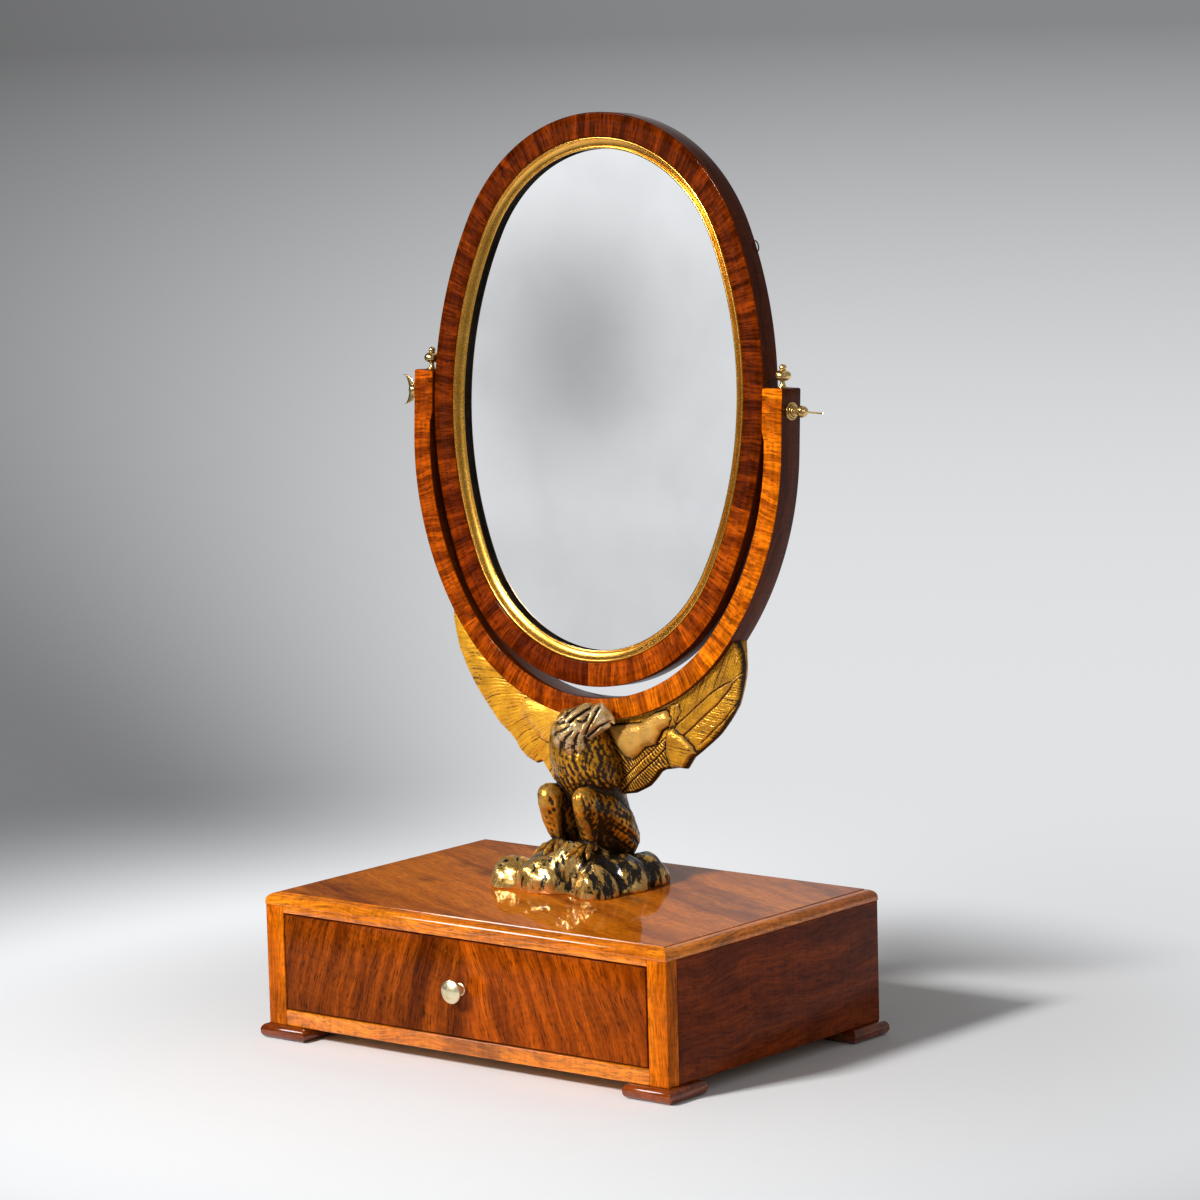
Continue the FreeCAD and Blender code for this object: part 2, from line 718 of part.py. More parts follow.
def dowels(name):
    """Three pegs between the carving and the bow, half in each."""
    pegs = []
    for label, x in (("left", -d.dowel_spread), ("middle", Dim.of(0)), ("right", d.dowel_spread)):
        start = yoke_underside(x) - d.dowel_length / 2
        pegs.append(leaning_cylinder(f"{name}_{label}", d.dowel_radius, d.dowel_length,
                                     (x, d.feather_setback / 2, start), d.yoke_lean))
    return pegs


def build_finials():
    """Turned brass knops on the arm tops."""
    ball_half = d.finial_ball_height / 2
    ball_z = d.finial_neck_height + ball_half
    ball_top = ball_z + ball_half
    bead_z = ball_top + d.finial_bead_lift
    radius = d.finial_ball_radius
    bulge = (radius * radius + ball_half * ball_half) / (2 * radius)
    points = [(0, -d.finial_spigot_length), (d.finial_spigot_radius, -d.finial_spigot_length),
              (d.finial_spigot_radius, 0), (d.finial_foot_radius, 0), (d.finial_foot_radius, d.finial_foot),
              (d.finial_neck_radius, d.finial_neck_height), (radius, ball_z),
              (d.finial_neck_radius, ball_top), (d.finial_bead_radius, bead_z),
              (0, bead_z + d.finial_bead_radius)]
    arcs = {4: (d.finial_neck_curve, -1), 5: (bulge, 1), 6: (bulge, 1), 8: (d.finial_bead_radius, 1)}
    for name, sign in SIDES:
        item = turned(f"{name}_knop", points, arcs)
        seat = ((d.yoke_half_width - d.yoke_bar / 2) * sign, 0, d.arm_rise)
        place(item, lean_point(seat, d.yoke_lean), FreeCAD.Rotation(-X_AXIS, d.yoke_lean.value))
        node(f"{name}_finial", item)


# Pivot screws
def build_pivots():
    """Rosettes on the arms, and the two thumbscrews that carry the oval frame."""
    face = d.yoke_half_width
    for name, sign in SIDES:
        hole = d.screw_radius + d.screw_clearance
        radius, height = d.rosette_radius, d.rosette_height
        step, step_z = d.rosette_step_radius, d.rosette_step_height
        points = [(hole, 0), (radius, 0), (radius, d.rosette_rim), (step, step_z),
                  (step, step_z + d.rosette_quirk), (d.rosette_face_radius, height), (hole, height)]
        arcs = {2: (d.rosette_bead_radius, 1), 4: (d.rosette_dome_radius, 1)}
        rosette = turned(f"{name}_washer", points, arcs)
        place(rosette, (face * sign, PIVOT_Y, d.pivot_height), across(sign))
        node(f"{name}_rosette", rosette)
        build_thumbscrew(name, sign)


def build_thumbscrew(name, sign):
    """Shank through arm and bush, ball hub and crescent wing; the wing lies as in the photograph."""
    shoulder = d.yoke_half_width + d.rosette_height + d.hub_gap
    end = d.ring_half_width - d.screw_engagement
    hub = shoulder + d.hub_neck_length + d.hub_radius - d.hub_sink
    at = (PIVOT_Y, d.pivot_height)
    shank = cylinder(f"{name}_shank", d.screw_radius, shoulder - end, (end * sign, *at), across(sign))
    neck = cylinder(f"{name}_neck", d.hub_neck_radius, hub - shoulder, (shoulder * sign, *at), across(sign))
    spin = FreeCAD.Rotation(X_AXIS, getattr(d, f"{name}_wing_spin").value)
    ball = doc.addObject("Part::Sphere", f"{name}_ball")
    bind(ball, "Radius", d.hub_radius)
    place(ball, (hub * sign, *at), spin)
    half, reach, waist = d.wing_span / 2, d.wing_reach, d.wing_waist
    root_x, root_z, tip_cut = d.wing_root, -d.wing_root, d.wing_tip
    points = [(-root_x, root_z), (root_x, root_z), (half, reach - tip_cut), (half - tip_cut, reach),
              (0, waist), (tip_cut - half, reach), (-half, reach - tip_cut)]
    flank, scoop = (d.wing_side_radius, 1), (d.wing_waist_radius, -1)
    arcs = {1: flank, 3: scoop, 4: scoop, 6: flank}
    crescent = plate(f"{name}_crescent", points, arcs, -d.wing_thickness / 2, d.wing_thickness / 2)
    place(crescent, (hub * sign, *at), spin.multiply(across(sign)))
    node(f"{name}_thumbscrew", fuse(f"{name}_thumbscrew_whole", [shank, neck, ball, crescent]))


# Oval frame
def ring_segment(name, sign, upper):
    """Quarter of the oval frame, between the middle line and a side joint below the pivots."""
    bar = d.ring_bar
    drop = d.ring_joint_drop
    side, side_in = RING.side_radius, RING.side_radius - bar
    end, end_in = RING.end_radius, RING.end_radius - bar
    corner, corner_in = RING.joint(), RING.joint(bar)
    top = 1 if upper else -1
    tall = RING.end_centre + RING.end_radius
    points = [(0, tall * top), (corner[0], corner[1] * top), (RING.side_x(drop), -drop),
              (RING.side_x(drop, bar), -drop), (corner_in[0], corner_in[1] * top), (0, (tall - bar) * top)]
    points = [(x * sign, z) for x, z in points]
    turn = -sign * top
    arcs = {0: (end, turn), 1: (side, turn), 3: (side_in, -turn), 4: (end_in, -turn)}
    return plate(name, points, arcs, RING_FRONT, -RING_FRONT)


def build_mirror():
    """Frame quarters, gilt slip, glass, back board and its wire clips, and the pivot bushes."""
    clips = []
    for side, sign in SIDES:
        for level in ("upper", "lower"):
            segment = ring_segment(f"{level}_{side}_quarter", sign, level == "upper")
            lean(segment, d.mirror_tilt)
            clips.append(clip_wire("clip", level, side))
            tools = [clip_wire("clip_hole", level, side)]
            if level == "upper":
                tools.append(cylinder(f"{side}_bush_socket", d.bush_radius, d.bush_length,
                                      (d.ring_half_width * sign, PIVOT_Y, d.pivot_height), across(-sign)))
            node(f"frame_{level}_{side}", cut(f"{level}_{side}_bored", segment, tools))
        build_bush(side, sign)
    slip = plate("slip", *RING.whole(d.ring_bar), SLIP_FRONT, GLASS_FRONT)
    lip = d.ring_bar + d.slip_width
    mouth = sketch(slip, "slip_mouth", *RING.whole(d.ring_bar + d.slip_lip), offset=-SLIP_FRONT)
    throat = sketch(slip, "slip_throat", *RING.whole(lip), offset=-(SLIP_FRONT + d.slip_fall))
    bevel = slip.newObject("PartDesign::SubtractiveLoft", "slip_bevel")
    bevel.Profile = mouth
    bevel.Sections = [throat]
    through = slip.newObject("PartDesign::Pocket", "slip_sight")
    through.Profile = sketch(slip, "slip_sight_outline", *RING.whole(lip), offset=-SLIP_FRONT)
    bind(through, "Length", d.slip_depth)
    lean(slip, d.mirror_tilt)
    node("gilt_slip", slip)
    inset = d.ring_bar + d.glass_inset
    glass = plate("glass", *RING.whole(inset), GLASS_FRONT, BOARD_FRONT)
    lean(glass, d.mirror_tilt)
    node("mirror_glass", glass)
    back = plate("back_board", *RING.whole(inset), BOARD_FRONT, BOARD_FRONT + d.board_thickness)
    lean(back, d.mirror_tilt)
    node("backboard", back)
    node("backboard_clips", group("clip_set", clips))


def build_bush(side, sign):
    """Brass bush in the frame's edge, open to the pivot screw."""
    blank = cylinder(f"{side}_bush_blank", d.bush_radius, d.bush_length,
                     (d.ring_half_width * sign, PIVOT_Y, d.pivot_height), across(-sign))
    bore = cylinder(f"{side}_bush_bore", d.screw_radius + d.screw_clearance, d.screw_engagement + 0.5,
                    (d.ring_half_width * sign, PIVOT_Y, d.pivot_height), across(-sign))
    node(f"{side}_pivot_bush", cut(f"{side}_bush_bored", blank, [bore]))


def clip_wire(name, level, side):
    """Wire pin of one frame quarter, driven into the frame and lying over the back board."""
    sign, rise = dict(SIDES)[side], 1 if level == "upper" else -1
    sine, cosine = sine_cosine(d.clip_angle)
    start = RING.end_radius - d.ring_bar + d.clip_sink
    depth = BOARD_FRONT + d.board_thickness + d.clip_wire_radius
    local = (start * cosine * sign, depth, (RING.end_centre + start * sine) * rise)
    inward = FreeCAD.Rotation(Z_AXIS, FreeCAD.Vector(-cosine.value * sign, 0, -sine.value * rise))
    return leaning_cylinder(f"{name}_{level}_{side}", d.clip_wire_radius, d.clip_reach, local,
                            d.mirror_tilt, inward)


# Carved eagle and rock
def sections_of(form):
    """The sizes of each oval section of a form, in order."""
    return [[getattr(d, f"{form}_{number}_{field}") for field in SECTION_FIELDS[form]]
            for number in range(1, len(SECTIONS[form]) + 1)]


def oval_wire(name, long_half, short_half, position, rotation=None):
    """Closed oval line, long along its own X."""
    item = doc.addObject("Part::Ellipse", name)
    item.MajorRadius, item.MinorRadius = long_half.value, short_half.value
    bind(item, "MajorRadius", long_half)
    bind(item, "MinorRadius", short_half)
    place(item, position, rotation)
    return item


def loft(name, wires):
    """Smooth solid through oval lines."""
    item = doc.addObject("Part::Loft", name)
    item.Sections = wires
    item.Solid = True
    return item


def trunk_form():
    """The eagle's trunk and neck, from the rock to under the head."""
    wires = []
    for number, (x, y, z, half_x, half_y) in enumerate(sections_of("trunk"), start=1):
        at = (x, CASE_Y + y, d.case_top_height + z)
        wires.append(oval_wire(f"trunk_line_{number}", half_x, half_y, at))
    return loft("trunk_form", wires)


def leg_form(side, sign):
    """One feathered leg with its knee drawn up in front."""
    quarter = FreeCAD.Rotation(Z_AXIS, 90)
    wires = []
    for number, (x, y, z, half_x, half_y) in enumerate(sections_of("leg"), start=1):
        at = (x * sign, CASE_Y + y, d.case_top_height + z)
        wires.append(oval_wire(f"{side}_leg_line_{number}", half_y, half_x, at, quarter))
    return loft(f"{side}_leg_form", wires)


def head_form():
    """Head and beak along a line that turns to the right and lifts."""
    turn_sine, turn_cosine = sine_cosine(d.head_heading)
    lift_sine, lift_cosine = sine_cosine(d.head_pitch)
    forward = (turn_cosine * lift_cosine, turn_sine * lift_cosine, lift_sine)
    up = (-turn_cosine * lift_sine, -turn_sine * lift_sine, lift_cosine)
    beak_line, crown = (FreeCAD.Vector(*[dim.value for dim in axis]) for axis in (forward, up))
    facing = FreeCAD.Rotation(crown, beak_line.cross(crown), beak_line, "XYZ")
    centre = (d.head_x, CASE_Y + d.head_y, d.case_top_height + d.head_z)
    wires = []
    for number, (along, rise, half_width, half_height) in enumerate(sections_of("head"), start=1):
        at = [c + along * f + rise * u for c, f, u in zip(centre, forward, up)]
        wires.append(oval_wire(f"head_line_{number}", half_height, half_width, at, facing))
    return loft("head_form", wires)


def toe_forms(side, sign):
    """Three tapered toes of one foot, spread forwards over the rock."""
    toes = []
    for number, turn in enumerate((-1, 0, 1), start=1):
        item = doc.addObject("Part::Cone", f"{side}_toe_{number}")
        bind(item, "Radius1", d.toe_root_radius)
        bind(item, "Radius2", d.toe_tip_radius)
        bind(item, "Height", d.toe_length)
        flat = FreeCAD.Rotation(X_AXIS, 90 + d.toe_dip.value)
        spread = FreeCAD.Rotation(Z_AXIS, d.toe_spread.value * turn)
        place(item, (d.toe_x * sign, CASE_Y + d.toe_y, d.case_top_height + d.toe_z), spread.multiply(flat))
        toes.append(item)
    return toes


def build_wings():
    """Spread wings whose upper edges follow the underside of the yoke."""
    front = d.feather_setback - d.yoke_depth / 2
    back = front + d.feather_thickness
    bend = -d.yoke_straight
    corner = YOKE.joint()
    tip_drop = d.feather_tip_drop - d.yoke_straight
    for name, sign in SIDES:
        points = [(d.feather_inner_x, yoke_underside(d.feather_inner_x)), (corner[0], bend - corner[1]),
                  (YOKE.side_x(tip_drop), -d.feather_tip_drop), (d.feather_tip_x, -d.feather_tip_z),
                  (d.feather_low_x, -d.feather_low_z), (d.feather_mid_x, -d.feather_mid_z),
                  (d.feather_root_x, -d.feather_root_z), (d.feather_inner_x, -d.feather_root_z)]
        points = [(x * sign, z) for x, z in points]
        arcs = {0: (d.yoke_end_radius, sign), 1: (YOKE.side_radius, sign), 2: (d.feather_lobe_radius, -sign),
                3: (d.feather_sweep_radius, -sign), 4: (d.feather_lobe_radius, -sign),
                5: (d.feather_hem_radius, -sign)}
        wing = plate(f"{name}_wing", points, arcs, front, back)
        lean(wing, d.yoke_lean)
        node(f"eagle_{name}_wing", cut(f"{name}_wing_bored", wing, dowels(f"{name}_wing_socket")))


def build_eagle():
    """Eagle's body, legs and head as one carving, cut to receive the wings and the bow."""
    forms = [trunk_form(), head_form()]
    for side, sign in SIDES:
        forms += [leg_form(side, sign), *toe_forms(side, sign)]
    whole = fuse("eagle_forms", forms)
    sockets = [nodes["eagle_left_wing"], nodes["eagle_right_wing"], nodes["yoke_bow"]]
    node("eagle_body", cut("eagle_fitted", whole, sockets + dowels("body_socket")))
    node("yoke_dowels", group("dowel_set", dowels("dowel")))


def build_rock():
    """Lobed rock under the eagle's feet, flat below, with two screws from inside the case."""
    centre = (d.rock_x, CASE_Y + d.rock_y)
    boulders = []
    for number, (x, y, length, width, height, heading) in enumerate(sections_of("boulder"), start=1):
        item = doc.addObject("Part::Ellipsoid", f"boulder_form_{number}")
        for prop, dim in (("Radius1", height), ("Radius2", length), ("Radius3", width)):
            bind(item, prop, dim)
        turn = FreeCAD.Rotation(Z_AXIS, heading.value)
        place(item, (x, CASE_Y + y, d.case_top_height), turn)
        boulders.append(item)
    mound = fuse("rock_mound", boulders)
    span = d.rock_span
    above = board("rock_space", (-span, span), (CASE_Y - span, CASE_Y + span),
                  (d.case_top_height, d.case_top_height + span))
    flat = doc.addObject("Part::Common", "rock_flat")
    flat.Base = mound
    flat.Tool = above
    sockets = []
    screws = []
    for side, sign in SIDES:
        at = (centre[0] + d.rock_screw_spread * sign, centre[1])
        depth = d.rock_screw_length - d.top_thickness
        sockets.append(cylinder(f"rock_socket_{side}", d.rock_screw_radius, depth, (*at, d.case_top_height)))
        shank = cylinder(f"rock_screw_shank_{side}", d.rock_screw_radius, d.rock_screw_length,
                         (*at, CASE_TOP))
        head = cylinder(f"rock_screw_head_{side}", d.rock_screw_head_radius, d.rock_screw_head,
                        (*at, CASE_TOP - d.rock_screw_head))
        screws.append(fuse(f"rock_screw_{side}", [shank, head]))
    node("rock_base", cut("rock_fitted", flat, sockets + [nodes["eagle_body"]]))
    node("rock_screws", group("rock_screw_set", screws))


def check_document():
    """Stop if any object failed or any piece is not a valid solid."""
    failed = [item.Name for item in doc.Objects if "Invalid" in item.State or "Error" in item.State]
    broken = [name for name, item in nodes.items()
              if item.Shape.isNull() or not item.Shape.isValid() or not item.Shape.Solids]
    if failed or broken:
        raise RuntimeError(f"failed objects {failed}, broken pieces {broken}")


def write_parts():
    """Write one STEP file per piece."""
    os.makedirs("parts", exist_ok=True)
    for name, item in nodes.items():
        item.Shape.exportStep(f"parts/{name}.step")
        print(name, len(item.Shape.Solids), "solids", round(item.Shape.Volume / 1000, 2), "cm3")


build_case()
build_feet()
build_drawer()
build_yoke()
build_finials()
build_pivots()
build_mirror()
build_wings()
build_eagle()
build_rock()
doc.recompute()
check_document()
write_parts()
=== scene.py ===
"""Looks of a walnut table mirror on a gilt eagle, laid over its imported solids.

Sizes are millimetres in the frame of the solids: +Z up, the drawer faces -Y. Meshes go in as metres.
"""
import sys

import logging
import math
from collections.abc import Callable, Sequence
from dataclasses import dataclass
from enum import Enum

import bmesh
import bpy
import numpy as np
from mathutils import Matrix, Vector


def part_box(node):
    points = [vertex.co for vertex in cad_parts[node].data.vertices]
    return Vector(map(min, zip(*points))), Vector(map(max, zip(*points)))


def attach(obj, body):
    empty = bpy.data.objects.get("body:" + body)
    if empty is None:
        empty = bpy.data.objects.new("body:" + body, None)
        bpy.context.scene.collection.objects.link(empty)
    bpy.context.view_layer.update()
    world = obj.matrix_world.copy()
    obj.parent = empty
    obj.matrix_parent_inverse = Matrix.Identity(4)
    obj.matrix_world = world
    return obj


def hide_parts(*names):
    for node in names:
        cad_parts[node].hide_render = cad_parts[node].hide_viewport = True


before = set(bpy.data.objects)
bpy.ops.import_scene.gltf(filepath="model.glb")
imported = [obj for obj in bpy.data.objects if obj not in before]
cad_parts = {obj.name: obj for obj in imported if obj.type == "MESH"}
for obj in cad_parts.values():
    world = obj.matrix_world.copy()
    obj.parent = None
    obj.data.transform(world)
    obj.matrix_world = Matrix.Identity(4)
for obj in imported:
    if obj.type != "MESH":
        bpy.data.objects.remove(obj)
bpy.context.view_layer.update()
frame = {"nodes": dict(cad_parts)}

log = logging.getLogger("table_mirror")
Array = np.ndarray
Colour = tuple[float, float, float]
Socket = bpy.types.NodeSocket
MM = 0.001
PIVOT = np.array([0.0, 64.6, 519.0])  # on the line that the oval tilts about
YOKE_LEAN = 3.35  # degrees that the yoke and the wings lean back
TOP_MIDDLE = (0.0, 5.6, 122.0)  # middle of the case's top, where the carving stands


class Body(Enum):
    """The pieces that move, by the names of their solids' bodies."""

    STAND = "stand"
    DRAWER = "drawer"
    MIRROR = "mirror"
    LEFT_SCREW = "left_thumbscrew"
    RIGHT_SCREW = "right_thumbscrew"


class Slot(Enum):
    """The record's material slots, which new pieces are passed but do not use."""

    CROSSBAND = "walnut_crossband"
    POLISHED = "walnut_polished"
    VENEER = "walnut_veneer"
    SOFTWOOD = "softwood"
    CARVING = "gilt_carving"
    SLIP = "gilt_slip"
    BRASS = "brass"
    STEEL = "steel"


class Side(Enum):
    """The two sides, with the sign of their X."""

    LEFT = -1.0
    RIGHT = 1.0

    @property
    def label(self) -> str:
        """The side's word in the names of the solids."""
        return self.name.lower()


# Node shorthand
class Graph:
    """Shorthand for wiring one node tree."""

    def __init__(self, tree: bpy.types.NodeTree) -> None:
        """Keep the tree that the nodes go into."""
        self.tree = tree

    def node(self, kind: str, feeds: dict[str | int, object] | None = None, **settings: object) -> bpy.types.Node:
        """Add a shader node.

        Args:
            kind: type name without the ShaderNode prefix.
            feeds: a value or a socket to link, by input name or number.
            settings: properties of the node.
        Returns:
            The new node.
        """
        made = self.tree.nodes.new("ShaderNode" + kind)
        for key, value in settings.items():
            setattr(made, key, value)
        for key, value in (feeds or {}).items():
            if isinstance(value, Socket):
                self.tree.links.new(value, made.inputs[key])
            else:
                made.inputs[key].default_value = value
        return made

    def math(self, operation: str, *values: float | Socket) -> Socket:
        """Result of a Math node."""
        return self.node("Math", dict(enumerate(values)), operation=operation).outputs[0]

    def blend(self, share: float | Socket, low: object, high: object) -> Socket:
        """Colour between low and high by share."""
        return self.node("Mix", {0: share, 6: low, 7: high}, data_type="RGBA").outputs[2]

    def step(self, value: Socket, low: float, high: float, start: float = 0.0, end: float = 1.0) -> Socket:
        """Smooth step of value from start at low to end at high."""
        feeds = {0: value, 1: low, 2: high, 3: start, 4: end}
        return self.node("MapRange", feeds, interpolation_type="SMOOTHSTEP").outputs[0]

    def vector(self, operation: str, *values: Colour | Socket) -> Socket:
        """Result of a Vector Math node, which is a number for a length or a dot product."""
        outputs = self.node("VectorMath", dict(enumerate(values)), operation=operation).outputs
        return outputs["Value" if operation in ("LENGTH", "DOT_PRODUCT") else "Vector"]

    def noise(self, place: Socket, stretch: Colour, detail: float = 3.0, rough: float = 0.5) -> Socket:
        """Noise between 0 and 1, with its cells per metre along each axis in stretch."""
        feeds = {"Vector": self.vector("MULTIPLY", place, stretch), "Scale": 1.0, "Detail": detail, "Roughness": rough}
        return self.node("TexNoise", feeds).outputs["Fac"]

    def order(self, place: Socket, axes: str) -> Socket:
        """Place with its axes put in another order."""
        parts = self.node("SeparateXYZ", {0: place}).outputs
        return self.node("CombineXYZ", {n: parts["XYZ".index(a)] for n, a in enumerate(axes)}).outputs[0]

    def surface(self, shader: Socket) -> None:
        """Send a shader to the surface output."""
        self.node("OutputMaterial", {"Surface": shader})


class Effect:
    """A node group that is built once and placed in each material that uses it."""

    name = ""
    inputs: dict[str, str] = {}
    outputs: dict[str, str] = {}

    def wire(self, graph: Graph, given: dict[str, Socket]) -> dict[str, Socket]:
        """Nodes of the group, from its inputs to its outputs by name."""
        raise NotImplementedError

    def tree(self) -> bpy.types.NodeTree:
        """The group's tree, built on its first use.

        Returns:
            The tree.
        """
        made = bpy.data.node_groups.get(self.name)
        if made is None:
            made = bpy.data.node_groups.new(self.name, "ShaderNodeTree")
            for way, sockets in (("INPUT", self.inputs), ("OUTPUT", self.outputs)):
                for label, kind in sockets.items():
                    made.interface.new_socket(label, in_out=way, socket_type="NodeSocket" + kind)
            entry, leave = made.nodes.new("NodeGroupInput"), made.nodes.new("NodeGroupOutput")
            results = self.wire(Graph(made), {label: entry.outputs[label] for label in self.inputs})
            for label, socket in results.items():
                made.links.new(socket, leave.inputs[label])
        return made

    def place(self, graph: Graph, feeds: dict[str, object]) -> bpy.types.bpy_prop_collection:
        """Put the group in a material and return its outputs."""
        return graph.node("Group", feeds, node_tree=self.tree()).outputs


class WoodFigure(Effect):
    """Growth bands, fibres, pores and a cross ripple; the first axis of Place lies along the grain."""

    name = "wood figure"
    inputs = {"Place": "Vector", "Pale": "Color", "Deep": "Color", "Dark": "Color", "Bands": "Float",
              "Ripple": "Float", "Fine": "Float"}
    outputs = {"Color": "Color", "Roughness": "Float", "Height": "Float"}

    def wire(self, graph: Graph, given: dict[str, Socket]) -> dict[str, Socket]:
        """Bands and lines from noise drawn out along the grain and warped; pores and glints where short flecks peak.

        Args:
            graph: the group's graph.
            given: its inputs by name.
        Returns:
            Its outputs by name.
        """
        place = given["Place"]
        drift = graph.node("TexNoise", {"Vector": place, "Scale": 9.0, "Detail": 2.0}).outputs["Color"]
        drift = graph.vector("MULTIPLY", graph.vector("SUBTRACT", drift, (0.5, 0.5, 0.5)), (0.0, 0.03, 0.03))
        bent = graph.vector("ADD", place, drift)
        banded = graph.node("VectorMath", {0: bent, 3: given["Bands"]}, operation="SCALE").outputs[0]
        bands = graph.noise(banded, (2.0, 60.0, 60.0), 5.0, 0.6)
        clouds = graph.noise(bent, (14.0, 26.0, 26.0), 3.0)
        lines = graph.noise(bent, (16.0, 360.0, 360.0), 3.0, 0.6)
        fleck = graph.noise(bent, (85.0, 700.0, 700.0), 2.0, 0.6)
        ripple = graph.noise(bent, (300.0, 60.0, 60.0), 2.0)
        colour = graph.blend(graph.step(bands, 0.36, 0.64), given["Pale"], given["Deep"])
        colour = graph.blend(graph.step(clouds, 0.52, 0.78, 0.0, 0.6), colour, given["Dark"])
        lined = graph.math("ADD", graph.step(lines, 0.32, 0.68, -0.36, 0.36), graph.step(fleck, 0.3, 0.46, 0.4, 0.0))
        rippled = graph.math("MULTIPLY", graph.step(ripple, 0.32, 0.68, -0.5, 0.5), given["Ripple"])
        shade = graph.math("MULTIPLY_ADD", lined, given["Fine"], graph.math("ADD", rippled, 1.0))
        shades = graph.node("CombineXYZ", {0: shade, 1: shade, 2: shade}).outputs[0]
        colour = graph.node("Mix", {0: 1.0, 6: colour, 7: shades}, data_type="RGBA", blend_type="MULTIPLY").outputs[2]
        pores = graph.math("MULTIPLY", graph.step(fleck, 0.54, 0.66, 0.0, 0.72), given["Fine"])
        colour = graph.blend(pores, colour, given["Dark"])
        rough = graph.math("MULTIPLY_ADD", clouds, 0.16, graph.math("MULTIPLY_ADD", pores, 0.12, 0.24))
        height = graph.math("MULTIPLY_ADD", pores, -0.7, graph.math("MULTIPLY", lines, 0.25))
        return {"Color": colour, "Roughness": rough, "Height": height}


class LeafWear(Effect):
    """Gold leaf that is paler where proud, partly the leaf's burnish and partly a painted highlight; darker in grooves;
    and worn through to dark bole in ragged patches.
    """

    name = "leaf wear"
    inputs = {"Place": "Vector", "Depth": "Float", "Lines": "Float", "Bare": "Float", "Metal": "Float",
              "Rough": "Float", "Leaf": "Color", "Shade": "Color", "Bole": "Color"}
    outputs = {"Color": "Color", "Metallic": "Float", "Roughness": "Float", "Height": "Float"}
    burnished = (0.88, 0.58, 0.2, 1.0)

    def wire(self, graph: Graph, given: dict[str, Socket]) -> dict[str, Socket]:
        """Leaf share = step of three noises less grooves, lines and bareness; the rest follows it.

        Args:
            graph: the group's graph.
            given: its inputs by name.
        Returns:
            Its outputs by name.
        """
        place = given["Place"]
        broad, ragged, fine = (graph.noise(place, (n, n, n), 5.0, 0.65) for n in (42.0, 170.0, 560.0))
        tone = graph.noise(place, (70.0, 70.0, 70.0), 3.0, 0.6)
        groove = graph.math("MAXIMUM", given["Depth"], 0.0)
        proud = graph.math("MAXIMUM", graph.math("MULTIPLY", given["Depth"], -1.0), 0.0)
        lines = graph.math("MULTIPLY", given["Lines"], graph.step(proud, 0.2, 0.6, 1.0, 0.0))
        cover = graph.math("MULTIPLY_ADD", ragged, 0.5, graph.math("MULTIPLY", fine, 0.45))
        cover = graph.math("SUBTRACT", graph.math("MULTIPLY_ADD", broad, 0.9, cover), given["Bare"])
        cover = graph.math("MULTIPLY_ADD", groove, -0.9, graph.math("MULTIPLY_ADD", lines, -0.5, cover))
        leaf = graph.step(cover, 0.07, 0.43)
        toned = graph.math("MAXIMUM", graph.step(tone, 0.34, 0.66), graph.step(groove, 0.04, 0.36))
        gold = graph.blend(toned, given["Leaf"], given["Shade"])
        # Proud places go towards pale gold: the leaf's burnish, and a painted highlight.
        gold = graph.blend(graph.math("MULTIPLY", proud, 0.45), gold, self.burnished)
        gold = graph.blend(graph.math("MULTIPLY", lines, 0.7), gold, given["Bole"])
        rough = graph.math("MULTIPLY_ADD", fine, 0.2, given["Rough"])
        height = graph.math("MULTIPLY_ADD", leaf, 0.35, graph.math("MULTIPLY", fine, 0.5))
        height = graph.math("MULTIPLY_ADD", lines, -0.8, height)
        return {"Color": graph.blend(leaf, given["Bole"], gold), "Roughness": rough, "Height": height,
                "Metallic": graph.math("MULTIPLY", leaf, given["Metal"])}


